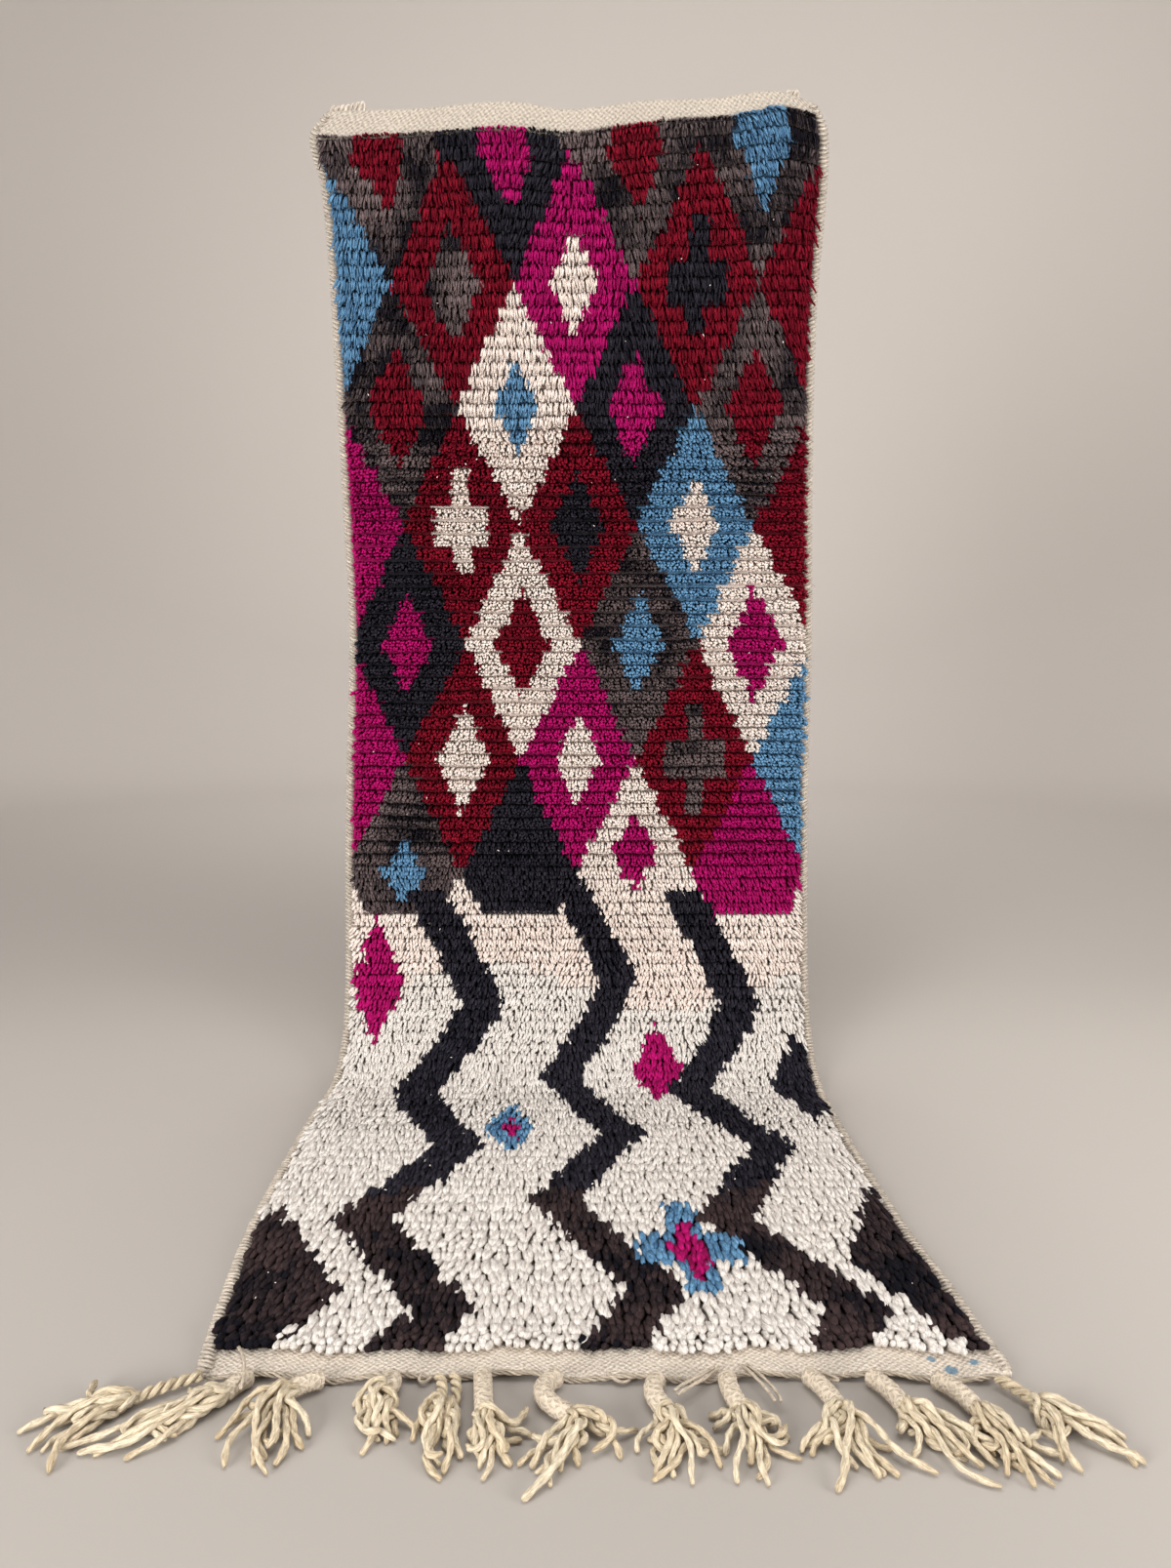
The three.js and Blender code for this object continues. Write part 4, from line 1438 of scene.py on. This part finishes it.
def neck_line(row):
    """The centre line of a tassel's neck."""
    out, height = NECK_ROOT
    root = front_place(row["root_x"], out + front_wave(row["root_x"]), height)
    end = front_place(row["neck_x"], row["neck_out"], row["thick"] / 2 + 0.0015)
    middle = (root + end) / 2 + np.array([row["bow"] * 2, 0, 0.004])
    return between_three(root, middle, end, np.linspace(0, 1, PATH_POINTS)[:, None])


def neck_parts(row, line, models, rng):
    """The meshes of a neck: one round plait, a two-ply rope, or a pair of ropes."""
    if row["neck"] == "braid":
        cord = {"path": line, "thick": row["thick"], "shade": 0.5}
        return [cords_mesh("neck", models["braid"], [cord], rng, plait=1.0)]
    ahead = unit(line[-1] - line[0])
    side = np.cross(ahead, (0, 0, 1))
    shifts = (0,) if row["neck"] == "rope" else (-0.6, 0.6)
    cords = []
    for shift in shifts:
        for path in rope_paths(line + side * shift * row["thick"], row["thick"] * 0.25, 0.021, 2):
            cords.append({"path": path, "thick": row["thick"] * 0.54, "shade": rng.uniform(0.25, 0.45)})
    return [cords_mesh("neck", models["ply"], cords, rng)]


def strand_paths(row, line, count, thick, rng):
    """The loose strands of a tassel, from the end of its neck to its tips."""
    end = line[-1]
    ahead = unit(line[-1] - line[-5])
    paths = []
    for strand in range(count):
        x, out = row["tips"][strand % len(row["tips"])]
        tip = front_place(x, out, thick / 2)
        if strand >= len(row["tips"]):
            tip = end + (tip - end) * rng.uniform(0.52, 1.0)
            tip = tip + np.array([rng.normal(0, 0.007), rng.normal(0, 0.006), 0])
            tip[2] = thick / 2
        way = tip - end
        way[2] = 0
        reach = np.linalg.norm(way)
        way = way / reach
        side = np.array([way[1], -way[0], 0])
        spot = end - ahead * 0.006
        spot = spot + side * rng.uniform(-0.3, 0.3) * row["thick"]
        spot = spot + np.array([0, 0, rng.uniform(-0.2, 0.3) * row["thick"]])
        first = end + ahead * reach * 0.30 + side * rng.normal(0, 0.003)
        first[2] = 0.012 + rng.uniform(0, 0.007)
        second = tip - way * reach * 0.30 + side * rng.normal(0, 0.014)
        second[2] = 0.008 + rng.uniform(0, 0.010)
        if strand >= len(row["tips"]) and strand % 2 == 0:
            bend = rng.choice((-1, 1)) * 0.014
            second = tip + way * 0.012
            second[2] = 0.012
            tip = end + (tip - end) * rng.uniform(0.48, 0.76) + side * bend
            tip[2] = 0.009
        path = curve_points((spot, first, second, tip), PATH_POINTS)
        t = np.linspace(0, 1, PATH_POINTS)
        wave = np.sin(2 * math.pi * (rng.uniform(0.8, 2.2) * t + rng.uniform(0, 1)))
        path = path + side * (wave * np.sin(math.pi * t) * rng.uniform(0.0025, 0.0105))[:, None]
        hook = rng.normal(0, 0.010) * (np.clip(t - 0.65, 0, 1) / 0.35) ** 2
        path = path + side * hook[:, None]
        paths.append(path)
    return push_apart(np.array(paths), thick, 40)


class RUG_OT_tassels(Operator):
    """Plait the tassels: thirteen necks, each with its spread of loose twisted strands"""
    bl_idname = "rug.tassels"
    bl_label = "Tassels"

    def execute(self, context):
        sizes = context.scene.rug_tassels
        lumps = [(step / 24, 1 + 0.045 * math.sin(step * 1.9)) for step in range(1, 24)]
        models = {
            "loose": model_strand(
                8, [(0, 0.8)] + [(step / 22, 1.0) for step in range(1, 21)] + [(0.975, 0.86), (1.0, 0.45)],
                lobes=0.16, turn=5.5 * math.pi),
            "braid": model_strand(12, [(0, 0.9)] + lumps + [(1.0, 0.72)]),
            "ply": model_strand(8, [(step / 26, 1.0) for step in range(27)], lobes=0.08, turn=6 * math.pi),
        }
        fringe = context.scene.rug_colours.fringe
        bright = tuple(min(1, value * factor) for value, factor in zip(fringe, (1.00, 1.02, 1.06)))
        deep = tuple(value * factor for value, factor in zip(fringe, (0.72, 0.66, 0.58)))
        material = strand_material(
            "wool_fringe", deep, bright, root_light=0.8, fineness=700.0, bump=0.8,
            plait=NECK_COLOUR)
        for index, row in enumerate(TASSELS):
            rng = np.random.default_rng(300 + index)
            line = neck_line(row)
            parts = neck_parts(row, line, models, rng)
            paths = strand_paths(row, line, sizes.count, sizes.strand, rng)
            cords = [
                {"path": path, "thick": sizes.strand * rng.uniform(0.84, 1.12),
                 "shade": rng.uniform(0.25, 0.95)}
                for path in paths
            ]
            parts.append(cords_mesh("strands", models["loose"], cords, rng, dirty_tip=0.5))
            node = "tassel_%02d" % (index + 1)
            piece = make_object(stacked("plaited_" + node, parts), material)
            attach(piece, "root")
            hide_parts(node)
        return {"FINISHED"}


class RUG_OT_edge_cord(Operator):
    """Twine the thin threads that close the front edge, and the loose threads about it"""
    bl_idname = "rug.edge_cord"
    bl_label = "Edge cord"

    def execute(self, context):
        rng = np.random.default_rng(410)
        template = model_strand(5, [(step / 220, 1.0) for step in range(221)], lobes=0.1)
        count = 600
        across = np.linspace(0.012, 0.985, count)
        run = np.linspace(0, 0.73, count)
        centre = cloth_point(across, np.full(count, CLOTH_LENGTH), 0.0032)
        centre[:, 1] -= 0.0028
        centre[:, 2] += 0.0008 * soft_noise(run / 0.020, run * 0, 411)
        cords = []
        for thread in range(3):
            angle = 2 * math.pi * (run / 0.024 + thread / 3)
            loose = 1 + 0.55 * soft_noise(run / 0.013, run * 0 + thread * 5.0, 412)
            twist = np.stack([np.zeros(count), np.cos(angle), np.sin(angle)], -1)
            path = centre + twist * (0.0015 * loose)[:, None]
            cords.append({"path": path, "thick": 0.0027, "shade": 0.15 + 0.25 * thread})
        parts = [cords_mesh("edge", template, cords, rng)]
        ply = model_strand(6, [(step / 20, 1.0) for step in range(21)], lobes=0.1, turn=3 * math.pi)
        threads = [
            {"path": curve_points([front_place(*point) for point in points], 30), "thick": 0.0034,
             "shade": rng.uniform(0.5, 0.9)}
            for points in LOOSE_THREADS
        ]
        parts.append(cords_mesh("threads", ply, threads, rng))
        material = strand_material("wool_edge", scaled(NECK_COLOUR, 0.62), NECK_COLOUR, root_light=0.8)
        piece = make_object(stacked("twined_edge", parts), material)
        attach(piece, "root")
        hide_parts("edge_cord")
        return {"FINISHED"}


class RUG_OT_lint(Operator):
    """Catch small specks of pale lint in the pile"""
    bl_idname = "rug.lint"
    bl_label = "Lint"

    def execute(self, context):
        rng = np.random.default_rng(710)
        template = model_strand(4, [(0, 0.35), (0.5, 1.0), (1, 0.35)])
        across = rng.uniform(0.05, 0.95, LINT_COUNT)
        at = rng.uniform(FIRST_ROW + 0.03, LAST_ROW - 0.05, LINT_COUNT)
        side, down, out = cloth_axes(across, at)
        height = context.scene.rug_pile.height * (1 - 0.30 * ease((at - 1.05) / 0.6))
        spot = cloth_point(across, at, GROUND_THICKNESS) + out * height[:, None]
        spot = spot + down * (0.012 * (1 - comes(at, DROOP_GOES)))[:, None]
        angle = rng.uniform(0, math.pi, LINT_COUNT)[:, None]
        length = rng.uniform(0.0015, 0.0042, LINT_COUNT)[:, None]
        way = (side * np.cos(angle) + down * np.sin(angle)) * length
        route = (spot - way / 2, spot + out * 0.0004, spot + way / 2, out)
        thick = rng.uniform(0.0009, 0.0020, LINT_COUNT)
        places = place_strands(template, route, thick, angle[:, 0])
        shape = places.shape[:2]
        values = {"shade": np.full(shape, 0.8), "along": np.ones(shape)}
        cream = YARNS["cream"]
        material = strand_material("wool_lint", cream["deep"], cream["bright"], sheen=0.3)
        piece = make_object(
            joined_mesh("caught_lint", places, template, thick, length[:, 0], values), material)
        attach(piece, "root")
        return {"FINISHED"}


class RUG_OT_selvedges(Operator):
    """Overcast both side edges with slanted wraps of yarn"""
    bl_idname = "rug.selvedges"
    bl_label = "Selvedges"

    def execute(self, context):
        rng = np.random.default_rng(520)
        template = model_strand(4, [(0, 0.7), (0.25, 1.0), (0.5, 1.0), (0.75, 1.0), (1, 0.7)])
        pitch = 0.0062
        thick = 0.0046
        outside = -0.0022 / CLOTH_WIDTH
        offs = np.array([0.0046, 0.0060, 0.0046, 0.0004, -0.0008, 0.0])
        slant = np.array([0.004, 0.002, 0, -0.001, -0.002, -0.003])
        cords = []
        for edge in (0, 1):
            inwards = 1 - 2 * edge
            for wrap in range(int(CLOTH_LENGTH / pitch) - 1):
                at = (wrap + 0.8) * pitch + rng.normal(0, 0.0004)
                reach = 0.0105 * rng.uniform(0.85, 1.15) / CLOTH_WIDTH
                shares = np.array([reach, reach * 0.35, outside, outside, reach * 0.3, reach * 0.8])
                path = cloth_point(edge + inwards * shares, np.clip(at + slant, 0, CLOTH_LENGTH), offs)
                path[:, 2] = np.maximum(path[:, 2], 0.0021)
                cords.append({"path": path, "thick": thick, "shade": rng.uniform(0.2, 0.8)})
        data = cords_mesh("overcast_selvedges", template, cords, rng)
        ground = context.scene.rug_colours.ground
        material = strand_material(
            "wool_selvedge", scaled(ground, 0.72), scaled(ground, 1.12), root_light=0.85)
        piece = make_object(data, material)
        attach(piece, "root")
        return {"FINISHED"}


class RUG_OT_corner_knots(Operator):
    """Loop the knotted cord ends behind the two top corners"""
    bl_idname = "rug.corner_knots"
    bl_label = "Corner knots"

    def execute(self, context):
        template = model_strand(8, [(step / 30, 1.0) for step in range(31)], lobes=0.1, turn=4 * math.pi)
        ground = context.scene.rug_colours.ground
        material = strand_material(
            "wool_knots", scaled(ground, 0.6), scaled(ground, 1.15), root_light=0.8)
        for index, row in enumerate(CORNER_KNOTS):
            rng = np.random.default_rng(610 + index)
            low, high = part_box(row["name"])
            y = (low[1] + high[1]) / 2
            cords = []
            for loop in range(row["loops"]):
                share = (loop + 0.5) / row["loops"]
                x = row["x"] + row["width"] * (share - 0.5)
                head = row["high"][0] + (row["high"][1] - row["high"][0]) * share
                head = head + rng.normal(0, 0.0012)
                wide = 0.0030
                slant = 0.0060
                path = curve_points(np.array([
                    [x - wide, y + 0.004, row["low"]], [x - wide + slant, y - 0.005, head + 0.009],
                    [x + wide + slant * 2, y + 0.003, head + 0.009], [x + wide, y + 0.006, row["low"]],
                ]), 30)
                cords.append({"path": path, "thick": 0.0054, "shade": rng.uniform(0.3, 0.9)})
            piece = make_object(cords_mesh("looped_" + row["name"], template, cords, rng), material)
            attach(piece, "root")
            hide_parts(row["name"])
        return {"FINISHED"}


class RUG_OT_stage(Operator):
    """Set the plain pale floor and backdrop, the soft lights and the camera"""
    bl_idname = "rug.stage"
    bl_label = "Stage"

    def execute(self, context):
        start_modelling()
        radius, fillet, height = 3.3, 1.3, 4.2
        profile = [(radius * step / 6, 0.0) for step in range(7)]
        profile += [
            (radius + fillet * math.sin(math.pi / 2 * step / 12),
             fillet * (1 - math.cos(math.pi / 2 * step / 12)))
            for step in range(1, 13)
        ]
        profile.append((radius + fillet, height))
        bpy.ops.mesh.primitive_circle_add(vertices=96, radius=profile[1][0], fill_type="TRIFAN")
        floor = context.object
        floor.name = floor.data.name = "studio_floor"
        bpy.ops.object.mode_set(mode="EDIT")
        bpy.ops.mesh.select_mode(type="EDGE")
        bpy.ops.mesh.select_all(action="DESELECT")
        bpy.ops.mesh.select_non_manifold(extend=False)
        for low, high in zip(profile[1:], profile[2:]):
            bpy.ops.mesh.extrude_edges_move(TRANSFORM_OT_translate={"value": (0, 0, high[1] - low[1])})
            size = high[0] / low[0]
            bpy.ops.transform.resize(value=(size, size, 1), center_override=(0, 0, high[1]))
        bpy.ops.object.mode_set(mode="OBJECT")
        floor.data.shade_smooth()
        material = bpy.data.materials.new("plain_floor")
        material.use_nodes = True
        tree = material.node_tree
        shader = tree.nodes["Principled BSDF"]
        set_inputs(shader, Roughness=0.9)
        place = add_node(tree, "TexCoord", "Place in the studio")
        split = add_node(tree, "SeparateXYZ", "Height")
        far = math_node(tree, "Height and distance", "MULTIPLY_ADD", 0.34)
        height = range_node(tree, "Floor to wall", 0.34, 1.25, interpolation_type="SMOOTHSTEP")
        blend = add_node(tree, "Mix", "Floor or backdrop", data_type="RGBA")
        # Painted light: a pool of light on the backdrop, brightest about a spot up, right of and behind
        # the rug, dimmer away from it
        pool = math_node(tree, "From the brightest spot", "DISTANCE", (0.6, 4.4, 2.4), vector=True)
        painted_backdrop_light = range_node(
            tree, "Brighter there", 0.8, 3.5, 1.20, 0.88, interpolation_type="SMOOTHSTEP")
        wall = math_node(
            tree, "Lit backdrop", "SCALE", tuple(context.scene.rug_colours.backdrop), place=0, vector=True)
        wire(place, "Object", pool, 0)
        wire(pool, "Value", painted_backdrop_light, "Value")
        wire(painted_backdrop_light, "Result", wall, "Scale")
        wire(wall, "Vector", blend, "B")
        wire(place, "Object", split, 0)
        wire(split, "Y", far, 0)
        wire(split, "Z", far, 2)
        wire(far, 0, height, "Value")
        wire(height, "Result", blend, "Factor")
        # Painted shade on the floor behind the rug, and painted light on the floor to the right
        behind = range_node(
            tree, "Dimmer behind the rug", 0.35, 0.95, 1.0, 0.89, interpolation_type="SMOOTHSTEP")
        painted_floor_light_and_shade = math_node(
            tree, "Dimmed floor", "SCALE", tuple(context.scene.rug_colours.floor), place=0, vector=True)
        wire(split, "Y", behind, "Value")
        right = range_node(
            tree, "Brighter to the right", 0.1, 0.9, 1.0, 1.18, interpolation_type="SMOOTHSTEP")
        both = math_node(tree, "Dimmer and brighter", "MULTIPLY")
        wire(split, "X", right, "Value")
        wire(behind, "Result", both, 0)
        wire(right, "Result", both, 1)
        wire(both, 0, painted_floor_light_and_shade, "Scale")
        wire(painted_floor_light_and_shade, "Vector", blend, "A")
        wire(blend, "Result", shader, "Base Color")
        floor.data.materials.append(material)

        lights = table_of("name place aim size power", [
            ("ceiling_softbox", (0, -0.9, 3.3), (0, 0.15, 0.5), 2.2, 42),
            ("front_fill", (-1.9, -2.6, 0.95), (0, 0.3, 0.7), 1.8, 116),
            ("side_fill", (2.3, -1.9, 0.90), (0, 0.3, 0.7), 1.6, 64),
            ("back_fill", (0, 2.8, 2.4), (0, 0.4, 0.7), 2.0, 26),
        ])
        for row in lights:
            data = bpy.data.lights.new(row["name"], "AREA")
            data.shape = "DISK"
            data.size = row["size"]
            data.energy = row["power"]
            data.color = (1.0, 0.975, 0.945)
            light = bpy.data.objects.new(row["name"], data)
            away = unit(np.array(row["place"]) - np.array(row["aim"]))
            light.location = row["place"]
            light.rotation_euler = (math.acos(away[2]), 0, math.atan2(away[1], away[0]) + math.pi / 2)
            context.scene.collection.objects.link(light)

        world = bpy.data.worlds.new("studio")
        context.scene.world = world
        world.use_nodes = True
        world.node_tree.nodes["Background"].inputs["Color"].default_value = (1.0, 0.96, 0.92, 1)
        world.node_tree.nodes["Background"].inputs["Strength"].default_value = 0.58

        data = bpy.data.cameras.new("camera")
        data.sensor_width = CAMERA["sensor"]
        data.lens = CAMERA["lens"]
        data.clip_start = 0.05
        camera = bpy.data.objects.new("camera", data)
        camera.location = CAMERA["place"]
        camera.rotation_euler = (math.radians(CAMERA["pitch"]), 0, 0)
        context.scene.collection.objects.link(camera)
        context.scene.camera = camera
        context.scene.view_settings.view_transform = "Standard"
        return {"FINISHED"}


STEPS = (
    RUG_OT_stage, RUG_OT_ground, RUG_OT_pile, RUG_OT_selvedges, RUG_OT_edge_cord,
    RUG_OT_tassels, RUG_OT_corner_knots, RUG_OT_lint,
)


class RUG_PT_panel(Panel):
    bl_idname = "RUG_PT_panel"
    bl_label = "Berber runner rug"
    bl_space_type = "VIEW_3D"
    bl_region_type = "UI"
    bl_category = "Rug"

    def draw(self, context):
        layout = self.layout
        for group in (context.scene.rug_pile, context.scene.rug_tassels, context.scene.rug_colours):
            for name in group.__annotations__:
                layout.prop(group, name)
        for step in STEPS:
            layout.operator(step.bl_idname)


CLASSES = (RugPileSizes, RugClothColours, RugTasselSizes, *STEPS, RUG_PT_panel)


def register():
    for item in CLASSES:
        bpy.utils.register_class(item)
    bpy.types.Scene.rug_pile = PointerProperty(type=RugPileSizes)
    bpy.types.Scene.rug_colours = PointerProperty(type=RugClothColours)
    bpy.types.Scene.rug_tassels = PointerProperty(type=RugTasselSizes)


def unregister():
    del bpy.types.Scene.rug_tassels
    del bpy.types.Scene.rug_colours
    del bpy.types.Scene.rug_pile
    for item in reversed(CLASSES):
        bpy.utils.unregister_class(item)


def main():
    register()
    bpy.ops.rug.stage()
    bpy.ops.rug.ground()
    bpy.ops.rug.pile()
    bpy.ops.rug.selvedges()
    bpy.ops.rug.edge_cord()
    bpy.ops.rug.tassels()
    bpy.ops.rug.corner_knots()
    bpy.ops.rug.lint()


if __name__ == "__main__":
    main()
